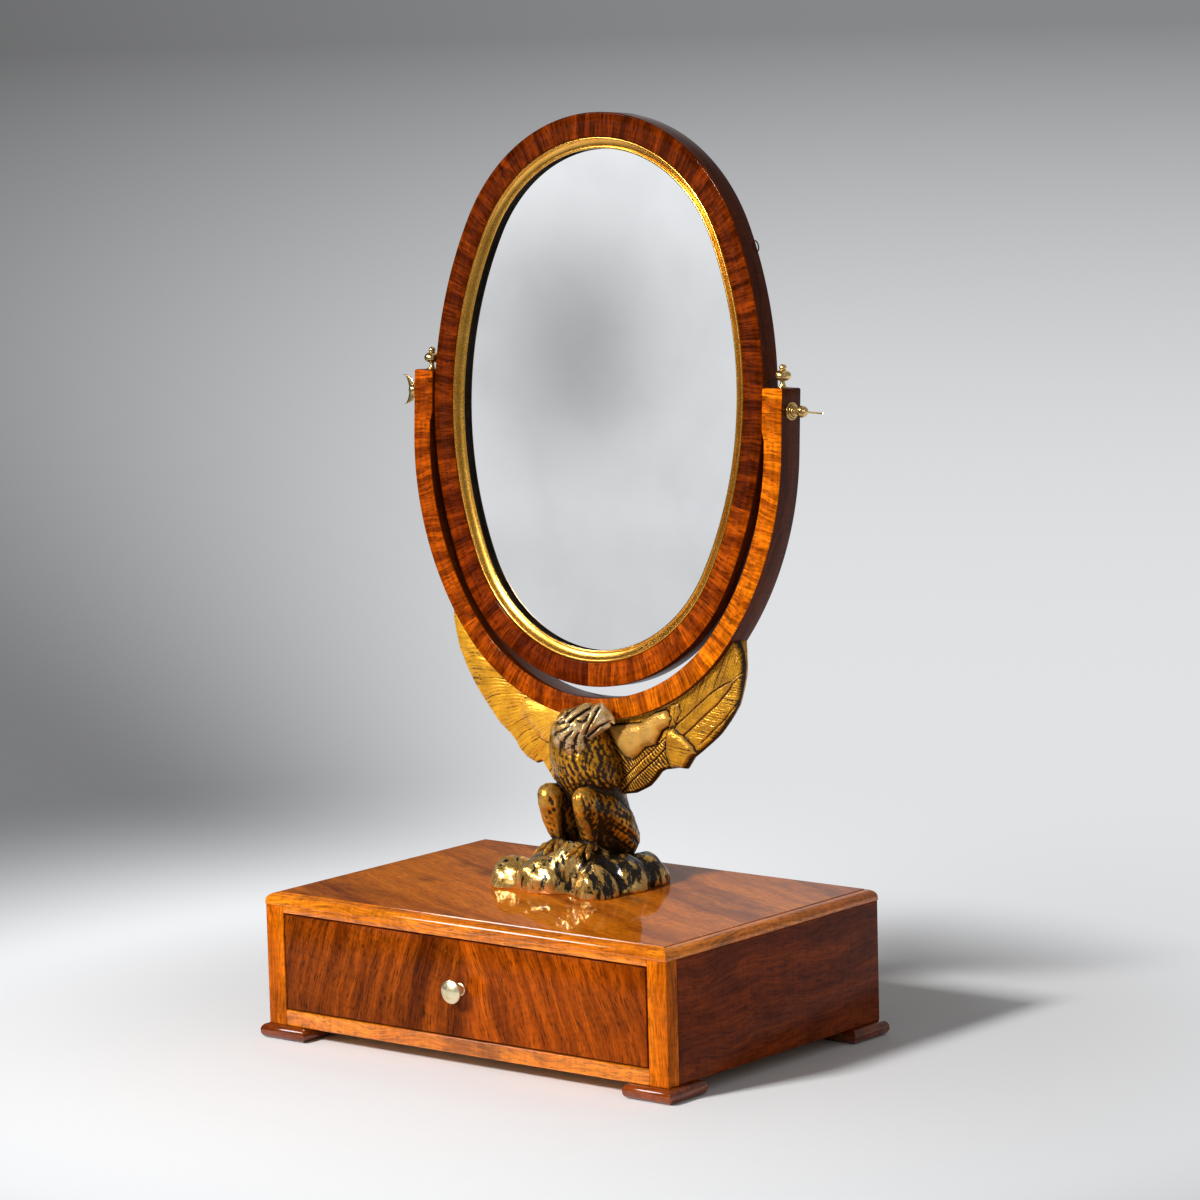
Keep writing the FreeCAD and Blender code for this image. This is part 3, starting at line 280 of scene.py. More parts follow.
class StudioTone(Effect):
    """Tone of the studio in a direction from the glass: a pale wall that darkens upwards, to the left and in front.

    Steeply down lies the white floor. In front and to the left a lit screen with a soft dim place shows in
    the looking-glass.
    """

    name = "studio tone"
    inputs = {"Way": "Vector"}
    outputs = {"Color": "Color"}
    right = (0.776, 0.63, 0.0)
    screen_way = (-0.6306, -0.776, 0.01)
    dim_way = (-0.634, -0.7728, 0.027)
    highlight_patch_way = (-0.6, -0.58, 0.551)

    def laid(self, graph: Graph, share: Socket, over: float | Socket, under: Socket) -> Socket:
        """Tone over another by share."""
        return graph.math("MULTIPLY_ADD", share, graph.math("SUBTRACT", over, under), under)

    def wire(self, graph: Graph, given: dict[str, Socket]) -> dict[str, Socket]:
        """Wall = pale by the side times 1 - e^(rise / 0.047).

        Its upper part, the floor, the screen and a bright patch go over it; the patch shows only in reflections and
        lights nothing, so it paints highlights on polish and gilding.

        Args:
            graph: the group's graph.
            given: its inputs by name.
        Returns:
            Its outputs by name.
        """
        way = graph.vector("NORMALIZE", given["Way"])
        _, front, rise = graph.node("SeparateXYZ", {0: way}).outputs
        side = graph.vector("DOT_PRODUCT", way, self.right)
        fall = graph.math("SUBTRACT", 1.0, graph.math("EXPONENT", graph.math("DIVIDE", rise, 0.047)))
        wall = graph.math("MULTIPLY", graph.step(side, -0.36, 0.08, 0.2, 0.76), graph.math("MAXIMUM", fall, 0.32))
        upper = graph.math("MULTIPLY", graph.step(side, -0.05, 0.045, 0.1, 0.72), graph.step(side, 0.2, 0.5, 1.0, 0.4))
        wall = self.laid(graph, graph.step(rise, 0.02, 0.07), upper, wall)
        wall = graph.math("MULTIPLY", wall, graph.step(front, -0.3, 0.3, 0.4, 1.0))
        wall = self.laid(graph, graph.step(rise, -0.66, -0.36, 1.0, 0.0), graph.step(side, -0.2, 0.6, 0.92, 0.72), wall)
        dip = graph.step(rise, -0.02, -0.004, -0.07, 0.0)
        screen = graph.math("ADD", graph.step(rise, 0.03, 0.072, 0.75, 0.95), dip)
        apart = graph.vector("MULTIPLY", graph.vector("SUBTRACT", way, self.dim_way), (60.0, 60.0, 44.0))
        apart = graph.vector("LENGTH", apart)
        dim = graph.math("EXPONENT", graph.math("MULTIPLY", graph.math("POWER", apart, 2.0), -1.0))
        screen = self.laid(graph, graph.math("MULTIPLY", dim, 0.9), 0.4, screen)
        on_screen = graph.step(graph.vector("DOT_PRODUCT", way, self.screen_way), 0.985, 0.994)
        # Painted highlight: a bright patch that only reflections see.
        window = graph.step(graph.vector("DOT_PRODUCT", way, self.highlight_patch_way), 0.986, 0.995, 0.0, 16.0)
        tone = graph.math("ADD", self.laid(graph, on_screen, screen, wall), window)
        warm, cool = graph.math("MULTIPLY", tone, 0.99), graph.math("MULTIPLY", tone, 1.02)
        return {"Color": graph.node("CombineXYZ", {0: warm, 1: tone, 2: cool}).outputs[0]}


# Finishes
class Grain(Enum):
    """Where a wood finish takes its place from, with the grain along the first axis."""

    ALONG_X = "XYZ"
    ALONG_Y = "YXZ"
    ALONG_Z = "ZXY"
    ACROSS_BAND = "YXZ on the map"
    ALONG_BAND = "XYZ on the map"
    ON_FACE = "XZY"


@dataclass(frozen=True)
class Finish:
    """A named material, made on its first use."""

    name: str

    def paint(self, graph: Graph) -> None:
        """Add the material's nodes."""
        raise NotImplementedError

    def material(self) -> bpy.types.Material:
        """The material, made on its first use.

        Returns:
            The material.
        """
        made = bpy.data.materials.get(self.name)
        if made is None:
            made = bpy.data.materials.new(self.name)
            made.use_nodes = True
            made.node_tree.nodes.clear()
            self.paint(Graph(made.node_tree))
        return made


@dataclass(frozen=True)
class Wood(Finish):
    """Walnut or softwood, bare or French polished."""

    pale: Colour
    deep: Colour
    dark: Colour
    grain: Grain
    bands: float = 1.0
    ripple: float = 0.2
    polish: float = 1.0
    lean: float = 0.0
    block: float = 0.0
    fine: float = 1.0
    gloss: float = 1.4

    def place(self, graph: Graph) -> Socket:
        """Place on the wood with the grain along its first axis.

        Args:
            graph: the material's graph.
        Returns:
            The place.
        """
        coords = graph.node("TexCoord").outputs
        mapped = self.grain in (Grain.ACROSS_BAND, Grain.ALONG_BAND)
        place = graph.order(coords["UV" if mapped else "Object"], self.grain.value[:3])
        if self.lean:
            feeds = {"Vector": place, "Rotation": (0.0, 0.0, math.radians(self.lean))}
            place = graph.node("Mapping", feeds).outputs[0]
        return place

    def blocks(self, graph: Graph, place: Socket, colour: Socket) -> Socket:
        """Shift the tone from one leaf of crossbanding to the next, with a fine dark line between them.

        Args:
            graph: the material's graph.
            place: place with the length of the band on its second axis.
            colour: the wood's colour.
        Returns:
            The colour with the leaves told apart.
        """
        along = graph.node("SeparateXYZ", {0: place}).outputs[1]
        count = graph.math("DIVIDE", along, self.block)
        leaf = graph.math("FLOOR", count)
        tone = graph.node("TexWhiteNoise", {"W": leaf}, noise_dimensions="1D").outputs["Value"]
        edge = graph.math("ABSOLUTE", graph.math("SUBTRACT", graph.math("FRACT", count), 0.5))
        line = graph.step(edge, 0.494, 0.4995, 0.0, 0.6)
        colour = graph.blend(graph.math("MULTIPLY", tone, 0.34), colour, (*self.deep, 1.0))
        return graph.blend(line, colour, (*self.dark, 1.0))

    def paint(self, graph: Graph) -> None:
        """Wood figure under a clear coat; the coat's weight and roughness are fixed numbers.

        Args:
            graph: the material's graph.
        """
        place = self.place(graph)
        figure = WoodFigure().place(graph, {
            "Place": place, "Pale": (*self.pale, 1.0), "Deep": (*self.deep, 1.0), "Dark": (*self.dark, 1.0),
            "Bands": self.bands, "Ripple": self.ripple, "Fine": self.fine})
        colour = self.blocks(graph, place, figure["Color"]) if self.block else figure["Color"]
        bump = graph.node("Bump", {"Height": figure["Height"], "Strength": 0.1, "Distance": 0.0004}).outputs[0]
        graph.surface(graph.node("BsdfPrincipled", {
            "Base Color": colour, "Roughness": figure["Roughness"], "Normal": bump,
            "Specular IOR Level": 0.0, "Coat Weight": self.polish, "Coat Roughness": 0.04,
            "Coat IOR": self.gloss}).outputs[0])


@dataclass(frozen=True)
class Gilding(Finish):
    """Gold leaf over bole under a thin lacquer, more or less worn."""

    leaf: Colour
    shade: Colour
    bole: Colour
    bare: float
    lines: float = 0.0
    lacquer: float = 0.5
    metal: float = 0.6
    rough: float = 0.28
    patch: Colour = (1.0, 1.0, 1.0)
    bump: float = 0.35
    carved: bool = True
    streak: Colour | None = None

    def scratched(self, graph: Graph) -> Socket | float:
        """Fine lines from drawn-out noise: along the lie of the feathers on the map, or as streaks on a bare block.

        Args:
            graph: the material's graph.
        Returns:
            Strength of the lines, 0 where there are none.
        """
        if not self.lines:
            return 0.0
        coords = graph.node("TexCoord").outputs
        hair = graph.noise(coords["Object" if self.streak else "UV"], self.streak or (480.0, 13.0, 0.0), 3.0, 0.6)
        return graph.step(hair, 0.48, 0.68, 0.0, self.lines)

    def paint(self, graph: Graph) -> None:
        """Leaf wear over the carving's depth, with darkening for dirt and painted shade added to it, which a carved
        piece keeps as an attribute.

        Args:
            graph: the material's graph.
        """
        place = graph.node("TexCoord").outputs["Object"]
        place = graph.vector("MULTIPLY", place, self.patch)
        depth = graph.node("Attribute", attribute_name="hollow").outputs["Fac"] if self.carved else 0.0
        worn = LeafWear().place(graph, {
            "Place": place, "Depth": depth, "Lines": self.scratched(graph), "Bare": self.bare, "Metal": self.metal,
            "Rough": self.rough, "Leaf": (*self.leaf, 1.0), "Shade": (*self.shade, 1.0), "Bole": (*self.bole, 1.0)})
        bump = graph.node("Bump", {"Height": worn["Height"], "Strength": self.bump, "Distance": 0.0006}).outputs[0]
        graph.surface(graph.node("BsdfPrincipled", {
            "Base Color": worn["Color"], "Metallic": worn["Metallic"], "Roughness": worn["Roughness"], "Normal": bump,
            "Specular IOR Level": 0.2, "Coat Weight": self.lacquer, "Coat Roughness": 0.12,
            "Coat IOR": 1.4}).outputs[0])


@dataclass(frozen=True)
class Metal(Finish):
    """Turned or drawn metal with soft tarnish and fine turning lines."""

    bright: Colour
    dull: Colour
    rough: float

    def paint(self, graph: Graph) -> None:
        """Tarnish from broad noise; roughness from fine noise.

        Args:
            graph: the material's graph.
        """
        place = graph.node("TexCoord").outputs["Object"]
        tarnish = graph.step(graph.noise(place, (140.0, 140.0, 140.0), 4.0, 0.6), 0.42, 0.72)
        scuff = graph.noise(place, (1500.0, 1500.0, 1500.0), 2.0)
        rough = graph.math("MULTIPLY_ADD", tarnish, 0.16, graph.math("MULTIPLY_ADD", scuff, 0.1, self.rough))
        bump = graph.node("Bump", {"Height": scuff, "Strength": 0.06, "Distance": 0.0002}).outputs[0]
        colour = graph.blend(tarnish, (*self.bright, 1.0), (*self.dull, 1.0))
        graph.surface(graph.node("BsdfPrincipled", {
            "Base Color": colour, "Metallic": 1.0, "Roughness": rough, "Normal": bump}).outputs[0])


@dataclass(frozen=True)
class Silvering(Finish):
    """Old looking-glass: silver behind glass, faintly hazed and speckled."""

    tint: Colour
    haze: Colour

    def paint(self, graph: Graph) -> None:
        """Haze from broad noise, specks from the peaks of fine noise.

        Args:
            graph: the material's graph.
        """
        place = graph.node("TexCoord").outputs["Object"]
        haze = graph.step(graph.noise(place, (11.0, 11.0, 11.0), 3.0), 0.35, 0.75, 0.0, 0.5)
        specks = graph.step(graph.noise(place, (420.0, 420.0, 420.0), 2.0), 0.72, 0.8, 0.0, 0.6)
        colour = graph.blend(graph.math("MAXIMUM", haze, specks), (*self.tint, 1.0), (*self.haze, 1.0))
        rough = graph.math("MULTIPLY_ADD", specks, 0.2, graph.math("MULTIPLY_ADD", haze, 0.05, 0.012))
        graph.surface(graph.node("BsdfPrincipled", {
            "Base Color": colour, "Metallic": 1.0, "Roughness": rough}).outputs[0])


BANDING = {"grain": Grain.ACROSS_BAND, "bands": 1.3, "ripple": 0.45, "polish": 0.15}
UPPER_BAND = Wood("dark crossbanded walnut", (0.195, 0.027, 0.0013), (0.05, 0.0062, 0.0005),
                  (0.008, 0.0016, 0.0005), block=0.088, **BANDING)
LOWER_BAND = Wood("red crossbanded walnut", (0.215, 0.027, 0.0012), (0.062, 0.0068, 0.0005),
                  (0.01, 0.0018, 0.0005), block=0.088, **BANDING)
BRIGHT_BAND = Wood("bright crossbanded walnut", (0.44, 0.072, 0.0016), (0.15, 0.02, 0.0008),
                   (0.022, 0.0036, 0.0006), block=0.094, **BANDING)
ORANGE_BAND = Wood("orange crossbanded walnut", (0.8, 0.18, 0.003), (0.3, 0.052, 0.0013),
                   (0.045, 0.008, 0.0008), block=0.094, **BANDING)
RIM = Wood("walnut rim", (0.12, 0.022, 0.003), (0.065, 0.012, 0.002), (0.016, 0.004, 0.001),
           Grain.ALONG_BAND, polish=0.4, fine=0.5)
TOP_FIELD = Wood("figured walnut top", (0.66, 0.172, 0.0064), (0.28, 0.057, 0.0032), (0.06, 0.012, 0.0015),
                 Grain.ALONG_X, bands=0.36, ripple=0.12, polish=0.55, lean=24.0, fine=0.45)
RAIL_BROWNS = ((0.82, 0.23, 0.008), (0.54, 0.126, 0.005), (0.1, 0.022, 0.002))
GOLDEN_X = Wood("golden walnut, grain across", *RAIL_BROWNS, Grain.ALONG_X, fine=0.7, gloss=1.55)
GOLDEN_Y = Wood("golden walnut, grain back", *RAIL_BROWNS, Grain.ALONG_Y, fine=0.7, gloss=1.55)
GOLDEN_Z = Wood("golden walnut, grain up", (0.68, 0.154, 0.003), (0.44, 0.085, 0.002), (0.11, 0.02, 0.0013),
                Grain.ALONG_Z, polish=0.2, fine=0.7)
SIDE = Wood("walnut case side", (0.22, 0.035, 0.003), (0.115, 0.016, 0.0016), (0.026, 0.005, 0.001),
            Grain.ALONG_Y, bands=0.7, polish=0.3, fine=0.7)
FOOT = Wood("walnut foot", (0.26, 0.048, 0.004), (0.14, 0.023, 0.0022), (0.036, 0.007, 0.0012),
            Grain.ALONG_X, fine=0.6, gloss=1.55)
LEFT_LEAF = Wood("dark book-matched walnut", (0.3, 0.055, 0.0023), (0.09, 0.0142, 0.001),
                 (0.012, 0.0024, 0.0005), Grain.ON_FACE, bands=0.75, ripple=0.22, polish=0.2, lean=-76.0, fine=0.9)
RIGHT_LEAF = Wood("book-matched walnut", (0.42, 0.074, 0.0021), (0.155, 0.0232, 0.001),
                  (0.018, 0.0032, 0.0005), Grain.ON_FACE, bands=0.75, ripple=0.18, polish=0.2, lean=74.0, fine=0.9)
BARE_PINE = {"bands": 0.7, "ripple": 0.1, "polish": 0.0, "fine": 0.4}
PINE_TONES = ((0.56, 0.36, 0.18), (0.43, 0.25, 0.11), (0.24, 0.12, 0.05))
PINE = Wood("bare softwood", *PINE_TONES, Grain.ALONG_X, **BARE_PINE)
PINE_Y = Wood("bare softwood, grain back", *PINE_TONES, Grain.ALONG_Y, **BARE_PINE)
BACK_PINE = Wood("stained back board", (0.23, 0.12, 0.055), (0.15, 0.072, 0.03), (0.06, 0.026, 0.012),
                 Grain.ALONG_Z, bands=0.6, ripple=0.1, polish=0.1, fine=0.5)
# Painted shade: the slip's inner wall is near black to stand for the shade between gilt and glass.
SHADE_BLACK_WALL = Wood("slip wall painted black as shade", (0.02, 0.014, 0.01), (0.012, 0.008, 0.006), (0.004, 0.003, 0.002),
                  Grain.ALONG_BAND, polish=0.2)
SLIP_GOLD = Gilding("gilt slip", (0.9, 0.49, 0.085), (0.8, 0.4, 0.055), (0.12, 0.04, 0.01), bare=0.1,
                    lacquer=0.4, metal=0.95, rough=0.15, bump=0.02, carved=False)
# The wings' leaf colours differ for the light on them: the left's is painted lighter and the right's painted darker, as
# shade.
LEFT_GOLD_PAINTED_LIGHTER = Gilding("left wing gilt, painted lighter", (0.98, 0.47, 0.018), (0.72, 0.31, 0.01), (0.06, 0.022, 0.004),
                    bare=0.34, lines=0.45, lacquer=0.1, metal=0.45, bump=0.25)
RIGHT_GOLD_PAINTED_DARKER = Gilding("gilt feathers", (0.76, 0.35, 0.014), (0.48, 0.2, 0.007), (0.03, 0.012, 0.003),
                     bare=0.4, lines=0.6, lacquer=0.1, metal=0.5, bump=0.25)
WORN_GOLD = Gilding("worn gilt plumage", (0.74, 0.33, 0.013), (0.4, 0.165, 0.007), (0.026, 0.013, 0.005),
                    bare=0.58, lacquer=0.1, metal=0.7, rough=0.2, bump=0.22)
HEAD_GOLD = Gilding("pale gilt head", (0.8, 0.63, 0.4), (0.42, 0.22, 0.045), (0.022, 0.014, 0.008),
                    bare=0.54, lacquer=0.2, rough=0.18, patch=(2.0, 2.0, 2.0), bump=0.2)
ROCK_GOLD = Gilding("worn gilt rock", (0.96, 0.64, 0.23), (0.68, 0.37, 0.065), (0.014, 0.01, 0.006),
                    bare=0.4, lines=1.0, metal=0.8, rough=0.14, patch=(1.6, 1.6, 0.8), bump=0.18,
                    streak=(150.0, 150.0, 48.0))
BRASS = Metal("polished brass", (0.84, 0.58, 0.24), (0.54, 0.33, 0.11), 0.2)
KNOB_BRASS = Metal("pale satin brass", (0.92, 0.82, 0.56), (0.74, 0.6, 0.33), 0.25)
IRON_WIRE = Metal("dark iron wire", (0.07, 0.055, 0.045), (0.04, 0.026, 0.02), 0.5)
STEEL = Metal("dark steel", (0.3, 0.29, 0.28), (0.14, 0.12, 0.1), 0.32)
LOOKING_GLASS = Silvering("old silvering", (0.93, 0.94, 0.945), (0.76, 0.77, 0.78))


# Meshes
class Shell:
    """Grids and flat ends gathered into one mesh."""

    def __init__(self) -> None:
        """Start with nothing."""
        self.points: list[Array] = []
        self.faces: list[Sequence[int]] = []
        self.finish: list[Array] = []
        self.map: list[Array] = []
        self.hollow: list[Array] = []
        self.count = 0

    def grid(self, points: Array, finish: int | Array = 0, uv: Array | None = None,
             closed: tuple[bool, bool] = (False, False), hollow: Array | None = None) -> Array:
        """Add a grid of points as quads.

        Args:
            points: (rows, columns, 3) places.
            finish: one finish number, or one for each column of quads.
            uv: map places of the grid, with one more row or column where it is closed.
            closed: whether the rows, and the columns, run round to meet.
            hollow: (rows, columns) depth of the carving, -1 where proud to 1 in a groove, with darkening for dirt and
                painted shade added to it.
        Returns:
            (rows, columns) numbers of the points.
        """
        rows, columns = points.shape[:2]
        index = self.count + np.arange(rows * columns).reshape(rows, columns)
        wrapped = np.pad(index, ((0, int(closed[0])), (0, int(closed[1]))), mode="wrap")
        uv = np.zeros((*wrapped.shape, 2)) if uv is None else uv
        quads, corners = (np.stack([a[:-1, :-1], a[1:, :-1], a[1:, 1:], a[:-1, 1:]], 2) for a in (wrapped, uv))
        self.faces.extend(quads.reshape(-1, 4).tolist())
        self.map.append(corners.reshape(-1, 2))
        self.finish.append(np.broadcast_to(finish, quads.shape[:2]).ravel())
        self.add_points(points.reshape(-1, 3), hollow)
        return index

    def add_points(self, points: Array, hollow: Array | None = None) -> None:
        """Add loose points with their carving depth.

        Args:
            points: (n, 3) places.
            hollow: their carving depth, or none.
        """
        self.points.append(points)
        self.hollow.append(np.zeros(len(points)) if hollow is None else hollow.ravel())
        self.count += len(points)

    def skin(self, points: Array, faces: Array, hollow: Array) -> None:
        """Add a skin of four-sided faces with its carving depth.

        Args:
            points: (n, 3) places.
            faces: (m, 4) numbers of points.
            hollow: carving depths.
        """
        self.faces.extend((faces + self.count).tolist())
        self.map.append(np.zeros((faces.size, 2)))
        self.finish.append(np.zeros(len(faces)))
        self.add_points(points, hollow)

    def cap(self, ring: Array, finish: int = 0, uv: Array | None = None) -> None:
        """Close a ring of points with one flat face.

        Args:
            ring: numbers of the points.
            finish: finish number.
            uv: map places, or none.
        """
        self.faces.append(ring.tolist())
        self.map.append(np.zeros((len(ring), 2)) if uv is None else uv)
        self.finish.append(np.array([finish]))

    def tube(self, points: Array, finish: int | Array = 0, uv: Array | None = None, ends: tuple[int, int] = (0, 0),
             hollow: Array | None = None) -> None:
        """Add a grid whose columns run round to meet, and close its first and last rows with flat faces.

        Args:
            points: (rows, columns, 3) places.
            finish: finish number, or one for each column of quads.
            uv: map places, or none.
            ends: finish numbers of the two ends.
            hollow: carving depths, or none.
        """
        index = self.grid(points, finish, uv, (False, True), hollow)
        self.cap(index[0], ends[0])
        self.cap(index[-1], ends[1])

    def mesh(self, name: str, crease: float) -> bpy.types.Mesh:
        """Mesh in metres, doubles merged, normals outwards, smooth but for edges sharper than crease.

        Args:
            name: the mesh's name.
            crease: angle in degrees.
        Returns:
            The mesh.
        """
        made = bpy.data.meshes.new(name)
        made.from_pydata(np.concatenate(self.points) * MM, [], self.faces)
        made.polygons.foreach_set("material_index", np.concatenate(self.finish).astype(np.int32))
        made.uv_layers.new(name="map").data.foreach_set("uv", np.concatenate(self.map).ravel() * MM)
        layer = made.attributes.new("hollow", "FLOAT", "POINT")
        layer.data.foreach_set("value", np.concatenate(self.hollow).astype(np.float32))
        work = bmesh.new()
        work.from_mesh(made)
        bmesh.ops.remove_doubles(work, verts=work.verts, dist=2e-6)
        bmesh.ops.recalc_face_normals(work, faces=work.faces)
        work.to_mesh(made)
        work.free()
        made.polygons.foreach_set("use_smooth", np.ones(len(made.polygons), dtype=bool))
        made.set_sharp_from_angle(angle=math.radians(crease))
        return made

    def piece(self, name: str, finishes: Sequence[Finish], body: Body, slot: Slot,
              stands_for: Sequence[str] = (), crease: float = 38.0) -> bpy.types.Object:
        """Make the object, let it ride on its body and hide the solids that it stands for.

        Args:
            name: the piece's name.
            finishes: finishes by number.
            body: the body that carries it.
            slot: the record's material slot; not used.
            stands_for: solids that it replaces.
            crease: angle in degrees above which an edge stays sharp.
        Returns:
            The object.
        """
        made = bpy.data.objects.new(name, self.mesh(name, crease))
        for finish in finishes:
            made.data.materials.append(finish.material())
        bpy.context.scene.collection.objects.link(made)
        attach(made, body.value)
        if stands_for:
            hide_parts(*stands_for)
        log.info("%s: %d faces on %s", name, len(made.data.polygons), body.value)
        return made


def dress_node(finish: Finish, *names: str) -> None:
    """Give solids that stay as they are a better finish.

    Args:
        finish: the finish.
        names: the solids' names.
    """
    for name in names:
        node = frame["nodes"][name]
        if not node.material_slots:
            node.data.materials.append(None)
        for slot in node.material_slots:
            slot.link = "OBJECT"
            slot.material = finish.material()
        log.info("%s keeps its solid", name)


def leaned(points: Array, angle: float) -> Array:
    """Places given about the pivot line, with their tops tilted back by angle.

    y = pivot y + y' cos + z' sin, z = pivot z - y' sin + z' cos.

    Args:
        points: places about the pivot line.
        angle: tilt in degrees.
    Returns:
        Places in the frame.
    """
    sine, cosine = math.sin(math.radians(angle)), math.cos(math.radians(angle))
    x, y, z = np.moveaxis(points, -1, 0)
    return PIVOT + np.stack([x, y * cosine + z * sine, z * cosine - y * sine], -1)


def ramp(value: Array, width: float) -> Array:
    """Straight rise from 0 where value is 0 to 1 where it is width."""
    return np.clip(value / width, 0, 1)


def lengths(line: Array) -> Array:
    """Distance along a line of points from its start."""
    return np.concatenate([[0.0], np.cumsum(np.linalg.norm(np.diff(line, axis=0), axis=1))])


def arc(centre: tuple[float, float], radius: float, start: float, end: float, count: int = 9) -> Array:
    """Points of an arc: centre + radius (cos a, sin a), with the angle a in degrees from start to end."""
    angle = np.radians(np.linspace(start, end, count))
    return np.array(centre) + radius * np.stack([np.cos(angle), np.sin(angle)], 1)


def rounded_board(low: Array, high: Array, radius: float) -> Array:
    """Grid of a box with rounded edges.

    Point = corner of the box shrunk by the radius + radius times the unit normal, over all normals.
    Rows run from the underside to the top and columns round the upright axis.

    Args:
        low: lowest corner.
        high: highest corner.
        radius: radius of the edges.
    Returns:
        The grid.
    """
    steps = 3
    turn = np.radians((np.arange(4)[:, None] * 90 + np.linspace(0, 90, steps + 1)).ravel())
    rise = np.radians(np.concatenate([np.linspace(-90, 0, steps + 1), np.linspace(0, 90, steps + 1)]))
    quarter = np.repeat(np.arange(4), steps + 1)
    side = np.stack([np.where((quarter == 0) | (quarter == 3), 1, -1), np.where(quarter < 2, 1, -1)], 1)
    level = np.repeat([-1, 1], steps + 1)
    normal = np.stack(np.broadcast_arrays(
        np.cos(turn)[:, None] * np.cos(rise), np.sin(turn)[:, None] * np.cos(rise), np.sin(rise)[None, :]), -1)
    sign = np.stack(np.broadcast_arrays(side[:, :1], side[:, 1:], level[None, :]), -1)
    centre, half = (low + high) / 2, (high - low) / 2
    return (centre + sign * (half - radius) + radius * normal).swapaxes(0, 1)


def board_piece(name: str, finish: Finish, body: Body, slot: Slot, radius: float = 0.8) -> bpy.types.Object:
    """Board with softened edges in the place of the solid with this name.

    Args:
        name: the solid's name.
        finish: the finish.
        body: the body that carries it.
        slot: the record's material slot.
        radius: radius of the edges.
    Returns:
        The object.
    """
    low, high = (np.array(corner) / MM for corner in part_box(name))
    shell = Shell()
    shell.tube(rounded_board(low, high, radius))
    return shell.piece(f"{name}_board", [finish], body, slot, [name], 60.0)


def loop_stack(centre: Array, half: Array, inset: Array, level: Array, corner: float) -> Array:
    """Grid of rounded-rectangle loops at rising levels, each set in from the plan by its inset.

    Rows are levels and columns run round the plan.

    Args:
        centre: middle of the plan.
        half: half-lengths of the plan.
        inset: inset of each loop.
        level: height of each loop.
        corner: radius of the plan's corners.
    Returns:
        The grid.
    """
    turn = np.radians((np.arange(4)[:, None] * 90 + np.linspace(0, 90, 4)).ravel())
    quarter = np.repeat(np.arange(4), 4)
    side = np.stack([np.where((quarter == 0) | (quarter == 3), 1, -1), np.where(quarter < 2, 1, -1)], 1)
    normal = np.stack([np.cos(turn), np.sin(turn)], 1)
    radius = np.maximum(corner - inset, 0.15)[:, None, None]
    plan = centre + side * (half - inset[:, None, None] - radius) + radius * normal
    return np.concatenate([plan, np.broadcast_to(level[:, None, None], (*plan.shape[:2], 1))], 2)


def turned(outline: Array, origin: Array, axis: Array, count: int = 48) -> Array:
    """Surface of revolution: origin + height times axis + radius turned about the axis.

    Args:
        outline: (n, 2) radius and height.
        origin: where height is 0.
        axis: unit direction of height.
        count: points round the axis.
    Returns:
        Grid with heights as rows and the turn as columns.
    """
    across = np.cross(axis, [0.3, 0.5, 0.8])
    across /= np.linalg.norm(across)
    turn = np.linspace(0, 2 * np.pi, count, endpoint=False)
    ring = np.cos(turn)[:, None] * across + np.sin(turn)[:, None] * np.cross(axis, across)
    return origin + outline[:, None, 1:] * axis + outline[:, None, :1] * ring


@dataclass(frozen=True)
class Oval:
    """Oval of two side arcs and two end arcs that meet in line."""

    half_width: float
    half_height: float
    end_radius: float
    drop: float = 0.0

    @property
    def side_radius(self) -> float:
        """Radius of the side arcs."""
        a, b, r = self.half_width, self.half_height, self.end_radius
        return (a * a + b * b - 2 * b * r) / (2 * (a - r))

    def outline(self, angle: Array) -> tuple[Array, Array]:
        """Points of the oval and their outward normals.

        The normal (sin a, -cos a) gives the point: end radius times it from an end centre where it is
        near the upright, and side radius times it from a side centre elsewhere.

        Args:
            angle: angle a of the normal from straight down, in radians.
        Returns:
            (n, 2) points in x and height, and (n, 2) normals.
        """
        normal = np.stack([np.sin(angle), -np.cos(angle)], 1)
        end, side = self.half_height - self.end_radius, self.side_radius - self.half_width
        on_end = np.arctan2(np.abs(normal[:, 0]), np.abs(normal[:, 1])) < math.atan2(side, end)
        at_end = np.stack([np.zeros(len(angle)), np.sign(normal[:, 1]) * end], 1) + self.end_radius * normal
        at_side = np.stack([-np.sign(normal[:, 0]) * side, np.zeros(len(angle))], 1) + self.side_radius * normal
        point = np.where(on_end[:, None], at_end, at_side)
        return point - [0.0, self.drop], normal

    def run(self, start: float, end: float, count: int) -> tuple[Array, Array]:
        """Outline between two angles with even steps along the curve.

        Args:
            start: first angle.
            end: last angle.
            count: number of points.
        Returns:
            (n, 2) points and (n, 2) normals.
        """
        dense = np.linspace(start, end, 4000)
        along = lengths(self.outline(dense)[0])
        return self.outline(np.interp(np.linspace(0, along[-1], count), along, dense))

    def angle_at(self, height: float) -> float:
        """Angle of the right side's normal where the outline has this height above its middle."""
        return math.pi / 2 + math.asin(height / self.side_radius)


